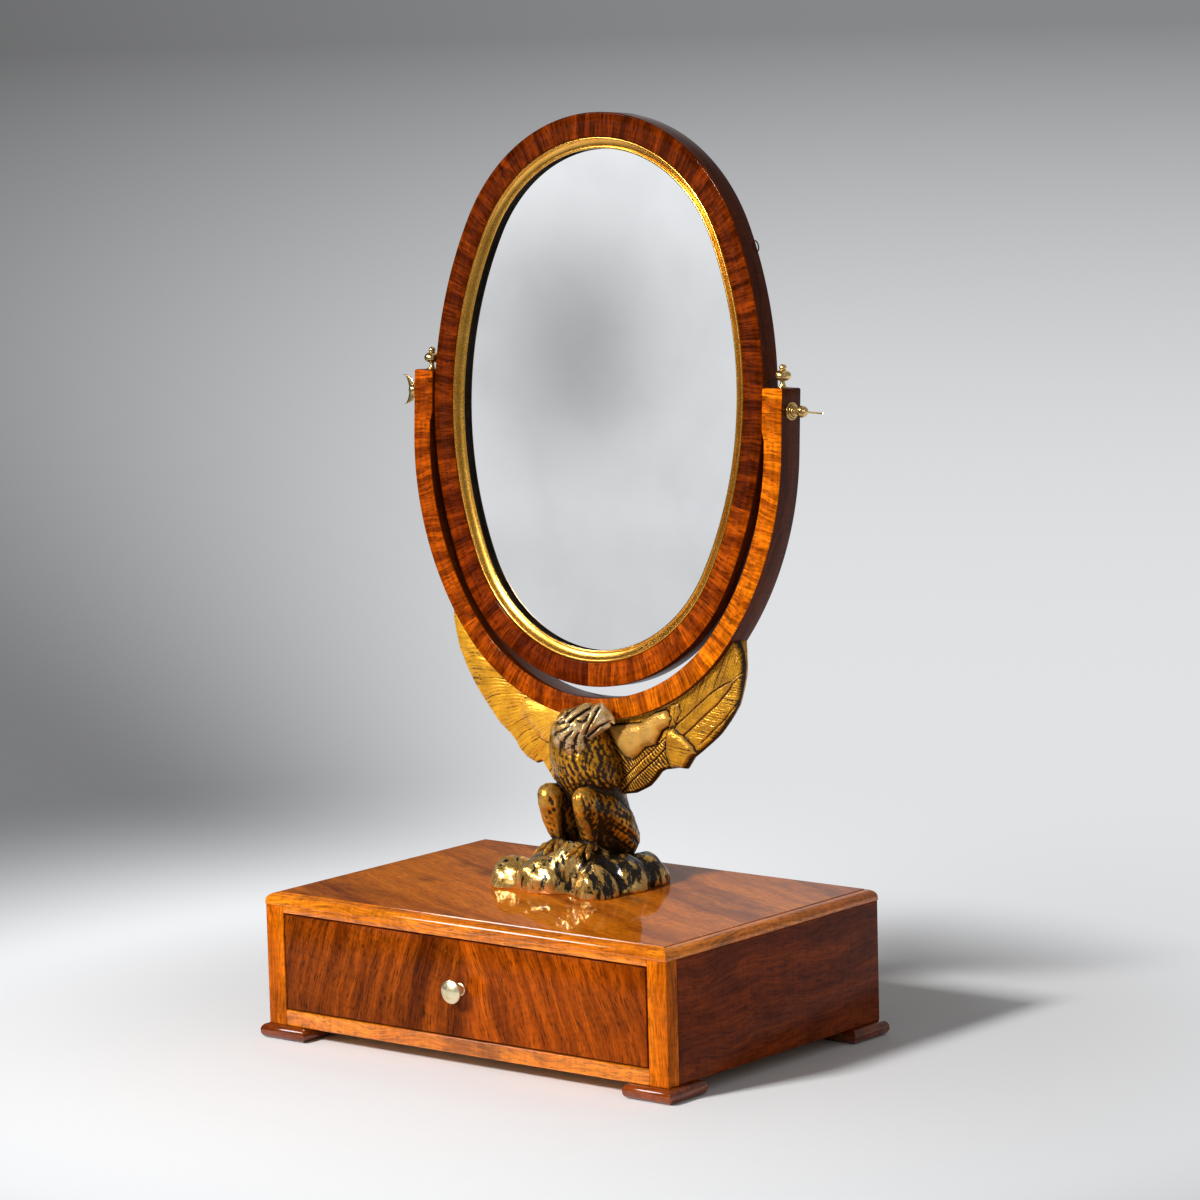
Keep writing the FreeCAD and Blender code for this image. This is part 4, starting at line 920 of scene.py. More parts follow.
@dataclass(frozen=True)
class Bar:
    """Rounded rectangular section carried along a curve, with its outer edge on the curve."""

    width: float
    depth: float
    softness: float = 1.0

    def sweep(self, line: Array, normal: Array, shrink: Array | float = 0.0, extra: Array | float = 0.0,
              start: float = 0.0) -> tuple[Array, Array, Array]:
        """Carry the section along a line.

        Section point = middle + side times (half width - softness) + softness times the corner's normal,
        measured inwards from the line and in depth.

        Args:
            line: (n, 2) points in x and height.
            normal: (n, 2) outward normals.
            shrink: how far the section draws in at each point.
            extra: how much wider it is inwards at each point.
            start: length along the band at the first point.
        Returns:
            Grid of places about the pivot line, its map, and a face number for each column:
            0 front, 1 inner edge, 2 back, 3 outer edge.
        """
        steps = 4
        angle = np.radians((180 + np.arange(4)[:, None] * 90 + np.linspace(0, 90, steps)).ravel())
        turn = np.stack([np.cos(angle), np.sin(angle)], 1)
        corner = np.repeat(np.array([[-1, -1], [1, -1], [1, 1], [-1, 1]]), steps, 0)
        shrink, extra = (np.broadcast_to(np.asarray(v, float), len(line))[:, None] for v in (shrink, extra))
        half = (self.width + extra) / 2
        inward = half + corner[:, 0] * (half - shrink - self.softness) + self.softness * turn[:, 0]
        depth = corner[:, 1] * (self.depth / 2 - shrink - self.softness) + self.softness * turn[:, 1]
        place = line[:, None, :] - inward[:, :, None] * normal[:, None, :]
        points = np.stack([place[..., 0], depth, place[..., 1]], -1)
        section = np.stack([inward[len(line) // 2], depth[len(line) // 2]], 1)
        round_section = lengths(np.concatenate([section, section[:1]]))
        along = start + lengths(line - normal * self.width / 2)
        uv = np.stack(np.broadcast_arrays(along[:, None], round_section[None, :]), -1)
        middle = turn + np.roll(turn, -1, 0)
        face = np.where(middle[:, 1] < -0.8, 0, np.where(middle[:, 1] > 0.8, 2, np.where(middle[:, 0] > 0, 1, 3)))
        return points, uv, face


@dataclass
class MirrorFrame:
    """The oval frame that tilts: crossbanded ring, gilt slip, glass and back."""

    oval: Oval = Oval(172.5, 234.1, 154.5)
    bar: Bar = Bar(20.0, 21.0, 1.3)
    tilt: float = 4.4
    side_joint: float = -82.0
    slip_width: float = 9.6
    wire_at: float = 112.4
    wire_reach: tuple[float, float] = (4.6, 2.6)
    wire_radius: float = 0.55

    def build(self) -> None:
        """Make the ring, the slip and the wire, and dress the glass and the back."""
        self.ring()
        self.slip()
        dress_node(LOOKING_GLASS, "mirror_glass")
        dress_node(BACK_PINE, "backboard")
        dress_node(STEEL, "backboard_clips")
        dress_node(BRASS, "left_pivot_bush", "right_pivot_bush")
        self.wire()

    def wire(self) -> None:
        """Bent end of a back clip: a thin tube along half an ellipse that stands out from the ring's back edge."""
        angle = np.full(1, math.radians(self.wire_at))
        (middle,), (normal,) = self.oval.outline(angle)
        turn = np.radians(np.linspace(0, 180, 17))
        along, out = self.wire_reach[0] * np.cos(turn), self.wire_reach[1] * np.sin(turn) - 0.6
        way = np.array([-normal[1], normal[0]])
        line = middle + along[:, None] * way + out[:, None] * normal
        pull = np.gradient(line, axis=0)
        lateral = np.stack([pull[:, 1], -pull[:, 0]], 1) / np.linalg.norm(pull, axis=1)[:, None]
        round_wire = np.radians(np.linspace(0, 360, 8, endpoint=False))
        flat = line[:, None, :] + self.wire_radius * np.cos(round_wire)[:, None] * lateral[:, None, :]
        depth = self.bar.depth / 2 - 0.9 + self.wire_radius * np.sin(round_wire)
        depth = np.broadcast_to(depth, flat.shape[:2])
        shell = Shell()
        shell.tube(leaned(np.stack([flat[..., 0], depth, flat[..., 1]], -1), self.tilt))
        shell.piece("bent_clip_end", [IRON_WIRE], Body.MIRROR, Slot.STEEL)

    def ring(self) -> None:
        """Four quarters between the middle line and the side joints, each a swept bar with closed ends."""
        joint = self.oval.angle_at(self.side_joint)
        turns = {"frame_lower_right": (0.0, joint), "frame_upper_right": (joint, math.pi),
                 "frame_upper_left": (math.pi, 2 * math.pi - joint),
                 "frame_lower_left": (2 * math.pi - joint, 2 * math.pi)}
        start = 0.0
        for name, (first, last) in turns.items():
            line, normal = self.oval.run(first, last, 110)
            points, uv, face = self.bar.sweep(line, normal, start=start)
            start = uv[-1, 0, 0]
            shell = Shell()
            shell.tube(leaned(points, self.tilt), np.where(face == 0, 0, 1), uv, (1, 1))
            band = {"frame_lower_left": LOWER_BAND, "frame_lower_right": BRIGHT_BAND}.get(name, UPPER_BAND)
            shell.piece(f"{name}_banding", [band, RIM], Body.MIRROR, Slot.CROSSBAND, [name])

    def slip(self) -> None:
        """Gilt moulding inside the ring: an outer bead, a hollow and an inner bead over a wall painted black as shade.

        The section is given inwards from the ring's outer line and in depth, and swept round the oval.
        """
        edge, front = self.bar.width, -self.bar.depth / 2
        gold = np.concatenate([
            [[edge, front + 2.4]], arc((edge + 1.25, front + 1.5), 1.15, 180, 360, 10),
            [[edge + 2.5, front + 2.1]], arc((edge + 10.77, front - 6.63), 12.0, 132.6, 107.8, 12),
            arc((edge + 8.4, front + 4.8), 1.15, 210, 360, 9)])
        wall = np.array([[edge + self.slip_width, front + 5.6], [edge + self.slip_width, -1.3], [edge, -1.3]])
        section = np.concatenate([gold, wall])
        line, normal = self.oval.run(0.0, 2 * math.pi, 361)
        place = line[:-1, None, :] - section[None, :, :1] * normal[:-1, None, :]
        depth = np.broadcast_to(section[:, 1], place.shape[:2])
        points = np.stack([place[..., 0], depth, place[..., 1]], -1)
        uv = np.stack(np.broadcast_arrays(
            lengths(line)[:, None], lengths(np.concatenate([section, section[:1]]))[None, :]), -1)
        shell = Shell()
        face = np.where(np.arange(len(section)) < len(gold) - 1, 0, 1)
        shell.grid(leaned(points, self.tilt), face, uv, (True, True))
        shell.piece("gilt_slip_moulding", [SLIP_GOLD, SHADE_BLACK_WALL], Body.MIRROR, Slot.SLIP, ["gilt_slip"])


@dataclass
class Yoke:
    """U-shaped yoke of two arms and a bow."""

    oval: Oval = Oval(192.9, 226.0, 175.8, 35.0)
    bar: Bar = Bar(17.6, 25.5, 1.2)
    lean: float = YOKE_LEAN
    joint: float = -62.0
    rise: float = 18.0
    pad: float = 2.4
    pad_end: float = -16.0
    pad_fade: float = -25.0

    def build(self) -> None:
        """Make the bow and the two arms."""
        turn = self.oval.angle_at(self.joint)
        line, normal = self.oval.run(-turn, turn, 170)
        self.length_of("yoke_bow", line, normal, np.zeros(len(line)), 0.0)
        for side in (Side.RIGHT, Side.LEFT):
            self.arm(side, turn)

    def arm(self, side: Side, turn: float) -> None:
        """One arm: curve, then straight up past the pivot to a rounded top, with a pad inside the pivot.

        Args:
            side: which arm.
            turn: angle of the outline at the joint with the bow.
        """
        curve, normal = self.oval.run(turn, math.pi / 2, 36)
        round_top = np.radians(np.linspace(0, 90, 5))[1:]
        height = np.concatenate([np.linspace(-self.oval.drop, self.pad_fade, 3)[1:], [self.pad_end],
                                 np.linspace(self.pad_end, self.rise - 1.6, 6)[1:],
                                 self.rise - 1.6 * (1 - np.sin(round_top))])
        line = np.concatenate([curve, np.stack([np.full(len(height), self.oval.half_width), height], 1)])
        normal = np.concatenate([normal, np.tile([1.0, 0.0], (len(height), 1))])
        shrink = np.zeros(len(line))
        shrink[-4:] = 1.1 * (1 - np.cos(round_top))
        mirror = [side.value, 1.0]
        self.length_of(f"yoke_{side.label}_arm", line * mirror, normal * mirror, shrink, 0.5)

    def length_of(self, name: str, line: Array, normal: Array, shrink: Array, start: float) -> None:
        """Sweep one length of the yoke and close its ends.

        Args:
            name: the solid that it stands for.
            line: (n, 2) outer line.
            normal: (n, 2) outward normals.
            shrink: how far the section draws in.
            start: length along the band at the first point.
        """
        extra = self.pad * ramp(line[:, 1] - self.pad_fade, self.pad_end - self.pad_fade)
        points, uv, face = self.bar.sweep(line, normal, shrink, extra, start)
        shell = Shell()
        band = np.where(line[:-1, 0] < 0, 0, 1)[:, None]
        index = shell.grid(leaned(points, self.lean), np.where(face == 0, band, 2), uv, (False, True))
        shell.cap(index[0], 2, uv[0, :-1])
        shell.cap(index[-1], 2, uv[-1, :-1])
        shell.piece(f"{name}_banding", [BRIGHT_BAND, ORANGE_BAND, RIM], Body.STAND, Slot.CROSSBAND, [name])


@dataclass
class Brasses:
    """Finials on the arm tops, and the rosettes and thumbscrews of the pivot."""

    arm_x: float = 184.1
    arm_top: float = 18.0
    lean: float = YOKE_LEAN
    face: float = 192.9
    stand_off: float = 4.5
    hub: float = 6.3

    def build(self) -> None:
        """Make the turned brasses on both sides."""
        for side, body, spin in ((Side.LEFT, Body.LEFT_SCREW, 0.0), (Side.RIGHT, Body.RIGHT_SCREW, 80.0)):
            self.finial(side)
            self.rosette(side)
            self.thumbscrew(side, body, spin)

    def finial(self, side: Side) -> None:
        """Knop with a flared foot, a flat ball and a bead, turned about the leaning arm's own line.

        Args:
            side: which side it is on.
        """
        outline = np.concatenate([
            [[0.0, 0.0], [4.0, 0.0]], arc((3.9, 0.45), 0.45, -90, 70, 5), arc((9.9, 4.9), 8.0, 208, 178, 10),
            [[2.3, 5.3], [2.3, 5.7]],
            np.stack([6.6 * np.sin(np.radians(np.linspace(24, 158, 18))),
                      9.8 - 4.2 * np.cos(np.radians(np.linspace(12, 168, 18)))], 1),
            [[1.8, 14.2]], arc((0.0, 16.0), 2.9, -45, 90, 12)])
        base = leaned(np.array([self.arm_x * side.value, 0.0, self.arm_top]), self.lean)
        axis = leaned(np.array([0.0, 0.0, 1.0]), self.lean) - PIVOT
        shell = Shell()
        shell.grid(turned(outline, base, axis), closed=(False, True))
        shell.piece(f"{side.label}_finial_knop", [BRASS], Body.STAND, Slot.BRASS, [f"{side.label}_finial"])

    def rosette(self, side: Side) -> None:
        """Ringed washer: two beads with quirks and a raised collar round the pivot screw.

        Args:
            side: which side it is on.
        """
        outline = np.concatenate([
            [[2.55, 0.0], [7.1, 0.0]], arc((6.55, 0.85), 0.85, -60, 130, 10), [[5.85, 0.7], [5.6, 0.7]],
            arc((4.9, 1.9), 0.7, 0, 130, 8), [[4.3, 1.5], [4.1, 1.5]], arc((3.3, 3.4), 0.8, 0, 100, 8),
            [[2.55, 4.2], [2.55, 0.0]]])
        axis = np.array([side.value, 0.0, 0.0])
        shell = Shell()
        shell.grid(turned(outline, PIVOT + self.face * axis, axis), closed=(False, True))
        shell.piece(f"{side.label}_rosette_rings", [BRASS], Body.STAND, Slot.BRASS, [f"{side.label}_rosette"])

    def thumbscrew(self, side: Side, body: Body, spin: float) -> None:
        """Shank, collared hub and a crescent grip.

        The grip is a grid over span s and reach: its inner edge is a hollow curve, its outer edge a deeper
        one, and its thickness an ellipse that thins to the tips.

        Args:
            side: which side it is on.
            body: the body that carries it.
            spin: turn of the grip in degrees.
        """
        start = self.face + self.stand_off
        outline = np.concatenate([
            [[0.0, 163.5], [2.5, 163.5], [2.5, start], [3.6, start]], arc((3.4, start + 0.7), 0.5, -60, 60, 5),
            [[2.9, start + 1.5], [3.0, start + 2.2]],
            arc((0.0, start + self.hub), 4.8, -50, 90, 20)])
        axis = np.array([side.value, 0.0, 0.0])
        shell = Shell()
        shell.grid(turned(outline, PIVOT, axis, 36), closed=(False, True))
        s = np.linspace(-1, 1, 41)
        inner = 5.6 + 6.6 * np.abs(s) ** 1.7
        outer = -1.6 + 12.6 * np.abs(s) ** 2.0
        turn = np.linspace(0, 2 * np.pi, 20, endpoint=False)
        middle, half = (inner + outer) / 2, np.maximum((inner - outer) / 2, 0.55)
        thick = 0.95 - 0.35 * np.abs(s) ** 2
        reach = start + self.hub + middle[:, None] + half[:, None] * np.cos(turn)
        width = 12.4 * np.sin(s * math.pi / 2)[:, None] * np.ones(len(turn))
        depth = thick[:, None] * np.sin(turn)
        angle = math.radians(spin)
        grip = np.stack([reach * side.value, -width * math.sin(angle) + depth * math.cos(angle),
                         width * math.cos(angle) + depth * math.sin(angle)], -1)
        shell.tube(PIVOT + grip)
        shell.piece(f"{side.label}_thumbscrew_grip", [BRASS], body, Slot.BRASS, [f"{side.label}_thumbscrew"])


@dataclass
class Case:
    """The case: top, framed front, sides, back and feet."""

    half_x: float = 210.6
    middle_y: float = 5.6
    half_y: float = 139.6
    under: float = 112.0
    top: float = 122.0
    round_over: float = 7.5
    lip: float = 0.6
    foot_round: float = 5.2

    def build(self) -> None:
        """Make the boards, the top and the feet, and dress the hidden boards."""
        self.lid()
        for side in Side:
            board_piece(f"front_{side.label}_stile", GOLDEN_Z, Body.STAND, Slot.POLISHED)
            board_piece(f"case_{side.label}_side", SIDE, Body.STAND, Slot.POLISHED)
            for end in ("front", "back"):
                self.foot(f"{end}_{side.label}_foot")
        board_piece("front_top_rail", GOLDEN_X, Body.STAND, Slot.POLISHED, 0.6)
        board_piece("front_bottom_rail", GOLDEN_X, Body.STAND, Slot.POLISHED)
        board_piece("case_back", BACK_PINE, Body.STAND, Slot.SOFTWOOD)
        dress_node(PINE, "case_bottom", "drawer_stops")
        dress_node(PINE_Y, "left_drawer_runner", "right_drawer_runner", "yoke_dowels")
        dress_node(STEEL, "foot_screws", "rock_screws")

    def lid(self) -> None:
        """Top board: loops that rise up a rounded edge to a fine quirk, then the flat veneered field."""
        turn = np.radians(np.linspace(0, 90, 9))
        inset = np.concatenate([[0.5, 0.0, 0.0], self.round_over * (1 - np.cos(turn[1:])), [8.1, 8.5]])
        edge = self.top - self.lip
        level = np.concatenate([[self.under, self.under + 0.5, edge - self.round_over],
                                edge - self.round_over * (1 - np.sin(turn[1:])), [self.top - 0.75, self.top]])
        points = loop_stack(np.array([0.0, self.middle_y]), np.array([self.half_x, self.half_y]), inset, level, 1.2)
        shell = Shell()
        side = (np.arange(points.shape[1]) // 4 + (np.arange(points.shape[1]) % 4 == 3)) % 4
        shell.tube(points, np.where((side % 2) == 0, 1, 0), ends=(0, 2))
        shell.piece("case_top_board", [GOLDEN_X, GOLDEN_Y, TOP_FIELD], Body.STAND, Slot.POLISHED, ["case_top"], 30.0)

    def foot(self, name: str) -> None:
        """Square pad with a half-round edge and mitred corners.

        Args:
            name: the solid that it stands for.
        """
        low, high = (np.array(corner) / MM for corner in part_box(name))
        turn = np.radians(np.linspace(-90, 90, 15))
        points = loop_stack((low[:2] + high[:2]) / 2, (high[:2] - low[:2]) / 2,
                            self.foot_round * (1 - np.cos(turn)), 6.0 + 6.0 * np.sin(turn), 0.5)
        shell = Shell()
        shell.tube(points)
        shell.piece(f"{name}_pad", [FOOT], Body.STAND, Slot.POLISHED, [name], 34.0)


@dataclass
class Drawer:
    """The drawer: book-matched face, softwood box and brass knob."""

    front: float = -133.4
    half_width: float = 189.4
    bottom: float = 26.6
    top: float = 104.9
    knob_height: float = 65.75

    def build(self) -> None:
        """Make the face, the boards of the box and the knob."""
        self.leaf(Side.LEFT, LEFT_LEAF, (-self.half_width, 0.0))
        self.leaf(Side.RIGHT, RIGHT_LEAF, (0.0, self.half_width))
        for side in Side:
            board_piece(f"drawer_{side.label}_side", PINE_Y, Body.DRAWER, Slot.SOFTWOOD, 1.2)
        board_piece("drawer_back", PINE, Body.DRAWER, Slot.SOFTWOOD, 1.2)
        board_piece("drawer_bottom", PINE, Body.DRAWER, Slot.SOFTWOOD, 0.4)
        dress_node(SIDE, "drawer_front")
        dress_node(STEEL, "knob_screw")
        self.knob()

    def leaf(self, side: Side, finish: Finish, span: tuple[float, float]) -> None:
        """One half of the veneered face, set in a little from the opening.

        Args:
            side: which half.
            finish: its veneer.
            span: its two ends in x.
        """
        low, high = np.array([span[0], self.front, self.bottom]), np.array([span[1], self.front + 1.0, self.top])
        shell = Shell()
        shell.tube(rounded_board(low, high, 0.25))
        shell.piece(f"drawer_{side.label}_leaf", [finish], Body.DRAWER, Slot.VENEER,
                    [f"drawer_veneer_{side.label}"], 60.0)

    def knob(self) -> None:
        """Turned mushroom knob: flange, waisted neck, rounded rim and a shallow crown with a fine ring."""
        crown = np.linspace(7.9, 0.0, 14)
        outline = np.concatenate([
            [[0.0, 0.0], [5.0, 0.0]], arc((4.7, 0.8), 0.7, -60, 60, 6), [[4.2, 1.7]],
            arc((8.0, 6.0), 4.4, 210, 140, 10), [[6.0, 10.0], [8.0, 10.5]], arc((8.4, 12.0), 1.4, -70, 80, 9),
            [[8.1, 13.7]], np.stack([crown, 13.6 + 2.2 * (1 - (crown / 8.2) ** 2)], 1)])
        shell = Shell()
        base = np.array([0.0, self.front, self.knob_height])
        shell.grid(turned(outline, base, np.array([0.0, -1.0, 0.0]), 64), closed=(False, True))
        shell.piece("drawer_knob_turning", [KNOB_BRASS], Body.DRAWER, Slot.BRASS, ["drawer_knob"])


# Carving
class Form:
    """A solid form that clay is made up of."""

    def reach(self, margin: float) -> tuple[Array, Array]:
        """Corners of the box round the form, wider by margin."""
        raise NotImplementedError

    def distance(self, place: Array) -> Array:
        """Signed distance from places to the form, less than 0 inside."""
        raise NotImplementedError


class Clay:
    """A block of signed distances, from which a closed skin is drawn."""

    def __init__(self, low: Sequence[float], high: Sequence[float], step: float) -> None:
        """Start with an empty block between two corners.

        Args:
            low: lowest corner.
            high: highest corner.
            step: edge of a cell.
        """
        self.low, self.step = np.array(low, float), step
        count = np.ceil((np.array(high) - self.low) / step).astype(int) + 1
        axes = [start + step * np.arange(n) for start, n in zip(low, count)]
        self.place = np.stack(np.meshgrid(*axes, indexing="ij"), -1).astype(np.float32)
        self.field = np.full(count, 40.0, np.float32)

    def window(self, low: Array, high: Array) -> tuple[slice, ...]:
        """Part of the block between two corners.

        Args:
            low: lowest corner.
            high: highest corner.
        Returns:
            Slices of the block.
        """
        first = np.clip(np.floor((low - self.low) / self.step).astype(int), 0, np.array(self.field.shape) - 1)
        last = np.clip(np.ceil((high - self.low) / self.step).astype(int) + 1, 1, self.field.shape)
        return tuple(slice(a, b) for a, b in zip(first, last))

    def add(self, form: Form, soft: float = 2.0) -> None:
        """Join a form on: smooth least of the two distances, rounded over the width soft.

        Args:
            form: the form.
            soft: width of the rounding.
        """
        part = self.window(*form.reach(soft + 4.0))
        old, new = self.field[part], form.distance(self.place[part])
        share = np.clip(0.5 + 0.5 * (old - new) / soft, 0, 1)
        self.field[part] = old + (new - old) * share - soft * share * (1 - share)

    def emboss(self, relief: Callable[[Array], Array], band: float = 3.0) -> None:
        """Raise the skin by a relief that depends on the place, worked out near the skin only."""
        near = np.abs(self.field) < band
        self.field[near] -= relief(self.place[near].astype(float)).astype(np.float32)

    def blurred(self, passes: int) -> Array:
        """The field averaged with its neighbours along each axis, passes times.

        Args:
            passes: how often.
        Returns:
            The averaged field.
        """
        field = self.field
        for axis in (0, 1, 2) * passes:
            wide = np.moveaxis(np.pad(field, [(int(a == axis),) * 2 for a in range(3)], mode="edge"), axis, 0)
            field = np.moveaxis((wide[:-2] + 2 * wide[1:-1] + wide[2:]) / 4, 0, axis)
        return field

    def skin(self) -> tuple[Array, Array, Array]:
        """Draw the surface where the distance is 0.

        Each cell that the surface crosses gets one point, the mean of the crossings on its edges, and each
        crossed edge of the block gets a face between the four cells round it. The carving's depth is how
        far the field lies above its average nearby, less how far it lies below its average further off.

        Returns:
            (n, 3) points, (m, 4) faces and (n,) depths, 1 in a groove and -1 on a proud place.
        """
        inside = self.field < 0
        size = np.array(self.field.shape) - 1
        corners = np.stack(np.meshgrid((0, 1), (0, 1), (0, 1), indexing="ij"), -1).reshape(-1, 3)
        tally = sum(inside[tuple(slice(a, a + n) for a, n in zip(c, size))].astype(np.int8) for c in corners)
        cell = np.argwhere((tally > 0) & (tally < 8))
        number = np.full(size, -1)
        number[tuple(cell.T)] = np.arange(len(cell))
        total, crossings = np.zeros((len(cell), 3)), np.zeros(len(cell))
        for axis in range(3):
            way = np.eye(3, dtype=int)[axis]
            for corner in corners[corners[:, axis] == 0]:
                start = self.field[tuple((cell + corner).T)]
                end = self.field[tuple((cell + corner + way).T)]
                crossed = (start < 0) != (end < 0)
                share = start / np.where(crossed, start - end, 1.0)
                total += np.where(crossed[:, None], corner + share[:, None] * way, 0.0)
                crossings += crossed
        points = self.low + self.step * (cell + total / crossings[:, None])
        faces = []
        for axis in range(3):
            way, left, up = (np.eye(3, dtype=int)[(axis + n) % 3] for n in range(3))
            span = [slice(0, n) if a == axis else slice(1, n) for a, n in enumerate(size)]
            ahead = [slice(s.start + w, s.stop + w) for s, w in zip(span, way)]
            here, there = inside[tuple(span)], inside[tuple(ahead)]
            for first, second in ((here & ~there, (0, 1, 2, 3)), (there & ~here, (3, 2, 1, 0))):
                at = np.argwhere(first) + [s.start for s in span]
                around = [at - a * left - b * up for a, b in ((1, 1), (0, 1), (0, 0), (1, 0))]
                faces.append(np.stack([number[tuple(c.T)] for c in around], 1)[:, second])
        near = np.round((points - self.low) / self.step).astype(int)
        passes = max(1, round(2.4 / self.step ** 2))
        groove, proud = ((self.field - self.blurred(n))[tuple(near.T)] for n in (passes, 4 * passes))
        return points, np.concatenate(faces), ramp(groove, 0.4) - ramp(-proud, 0.9)

    def piece(self, name: str, finish: Finish, base: Sequence[float], stands_for: Sequence[str] = (),
              soil_and_shade: Callable[[Array], Array] | None = None) -> bpy.types.Object:
        """Put the skin in as a piece of the stand, moved to its base.

        Args:
            name: the piece's name.
            finish: its gilding.
            base: where the block's origin stands.
            stands_for: solids that it replaces.
            soil_and_shade: depth to add at each place, more where the gilding is darker, for dirt and for painted
                shade.
        Returns:
            The object.
        """
        points, faces, hollow = self.skin()
        shell = Shell()
        shell.skin(points + np.array(base), faces, hollow + (soil_and_shade(points) if soil_and_shade else 0.0))
        return shell.piece(name, [finish], Body.STAND, Slot.CARVING, stands_for, 180.0)


@dataclass(frozen=True)
class Frame:
    """Right-angled axes of a carved form: along, across and the third."""

    origin: tuple[float, float, float]
    axes: Array

    def inside(self, place: Array) -> Array:
        """Places told in this frame."""
        return (place - np.array(self.origin)) @ self.axes.T

    def outside(self, place: Array) -> Array:
        """Places of this frame told in the block's own axes."""
        return np.array(self.origin) + np.asarray(place, float) @ self.axes


UPRIGHT = Frame((0.0, 0.0, 0.0), np.array([[0.0, 0.0, 1.0], [1.0, 0.0, 0.0], [0.0, 1.0, 0.0]]))


@dataclass(frozen=True)
class Loft(Form):
    """Oval sections along the first axis of a frame: station, two centres and two half-lengths."""

    frame: Frame
    sections: Array

    def table(self) -> Array:
        """Sections drawn as a smooth dense table: straight lines between them, then averaged.

        Returns:
            Rows of station, two centres and two half-lengths.
        """
        station = self.sections[:, 0]
        dense = np.linspace(station[0], station[-1], 241)
        columns = np.stack([np.interp(dense, station, column) for column in self.sections.T[1:]], 1)
        padded = np.concatenate([2 * columns[:1] - columns[12:0:-1], columns, 2 * columns[-1:] - columns[-2:-14:-1]])
        window = np.hanning(27)[1:-1] / np.hanning(27).sum()
        smooth = np.stack([np.convolve(column, window, "valid") for column in padded.T], 1)
        return np.column_stack([dense, smooth])

    def reach(self, margin: float) -> tuple[Array, Array]:
        """Corners of the box round the form.

        Args:
            margin: how much wider.
        Returns:
            Lowest and highest corner.
        """
        s = self.sections
        spread = np.maximum(s[:, 3], s[:, 4])[:, None]
        middle = self.frame.outside(s[:, :3])
        return (middle - spread - margin).min(0), (middle + spread + margin).max(0)

    def distance(self, place: Array) -> Array:
        """Distance to the oval at the same station: k0 (k0 - 1) / k1 with k0 = |q / h| and k1 = |q / h^2|.

        Args:
            place: places in the block.
        Returns:
            The distance.
        """
        table = self.table()
        local = self.frame.inside(place)
        along = local[..., 0]
        centre = np.stack([np.interp(along, table[:, 0], table[:, n]) for n in (1, 2)], -1)
        half = np.stack([np.interp(along, table[:, 0], table[:, n]) for n in (3, 4)], -1)
        across = local[..., 1:] - centre
        k0 = np.linalg.norm(across / half, axis=-1)
        k1 = np.linalg.norm(across / half ** 2, axis=-1)
        oval = k0 * (k0 - 1) / np.maximum(k1, 1e-4)
        return np.maximum(oval, np.maximum(table[0, 0] - along, along - table[-1, 0]))


@dataclass(frozen=True)
class Strand(Form):
    """Tapered round strand along points, each with its radius."""

    points: Array
    radii: Sequence[float]

    def reach(self, margin: float) -> tuple[Array, Array]:
        """Corners of the box round the form."""
        wide = np.max(self.radii) + margin
        return self.points.min(0) - wide, self.points.max(0) + wide

    def distance(self, place: Array) -> Array:
        """Least over its lengths of the distance to the line less the radius there.

        Args:
            place: places in the block.
        Returns:
            The distance.
        """
        least = np.full(place.shape[:-1], 99.0)
        for start, end, r0, r1 in zip(self.points, self.points[1:], self.radii, self.radii[1:]):
            way = end - start
            share = np.clip(((place - start) @ way) / (way @ way), 0, 1)
            gap = np.linalg.norm(place - start - share[..., None] * way, axis=-1)
            least = np.minimum(least, gap - r0 - (r1 - r0) * share)
        return least


@dataclass(frozen=True)
class Boulder(Form):
    """Rounded stone with flat facets: smooth greatest of planes that touch an ellipsoid."""

    centre: tuple[float, float, float]
    half: tuple[float, float, float]
    heading: float
    seed: int

    def reach(self, margin: float) -> tuple[Array, Array]:
        """Corners of the box round the form."""
        wide = max(self.half) * 1.1 + margin
        return np.array(self.centre) - wide, np.array(self.centre) + wide

    def distance(self, place: Array) -> Array:
        """Logarithm of the sum of the exponentials of the planes' distances, which rounds their meeting.

        Args:
            place: places in the block.
        Returns:
            The distance.
        """
        chance = np.random.default_rng(self.seed)
        count = 26
        height = 1 - (np.arange(count) + 0.5) * 2 / count
        turn = np.arange(count) * 2.39996 + chance.uniform(0, 6.28)
        flat = np.sqrt(1 - height ** 2)
        normal = np.stack([flat * np.cos(turn), flat * np.sin(turn), height], 1) + chance.normal(0, 0.16, (count, 3))
        normal /= np.linalg.norm(normal, axis=1)[:, None]
        cosine, sine = math.cos(math.radians(self.heading)), math.sin(math.radians(self.heading))
        turned_place = (place - np.array(self.centre)) @ np.array([[cosine, -sine, 0], [sine, cosine, 0], [0, 0, 1]])
        support = np.linalg.norm(normal * np.array(self.half), axis=1) * chance.uniform(0.86, 1.0, count)
        sharp = 0.55
        planes = turned_place @ normal.T - support
        return np.log(np.exp(np.clip(sharp * planes, -60, 40)).sum(-1)) / sharp


def waves(place: Array, pitch: float, seed: int) -> Array:
    """Soft unevenness between about -1 and 1: the mean of seven sine waves in seeded directions.

    Args:
        place: places.
        pitch: mean length of a wave.
        seed: seed of the directions.
    Returns:
        The unevenness.
    """
    chance = np.random.default_rng(seed)
    way = chance.normal(size=(7, 3))
    way *= (2 * np.pi / pitch) * chance.uniform(0.6, 1.7, (7, 1)) / np.linalg.norm(way, axis=1)[:, None]
    return np.sin(place @ way.T + chance.uniform(0, 6.28, 7)).mean(-1) * 1.9


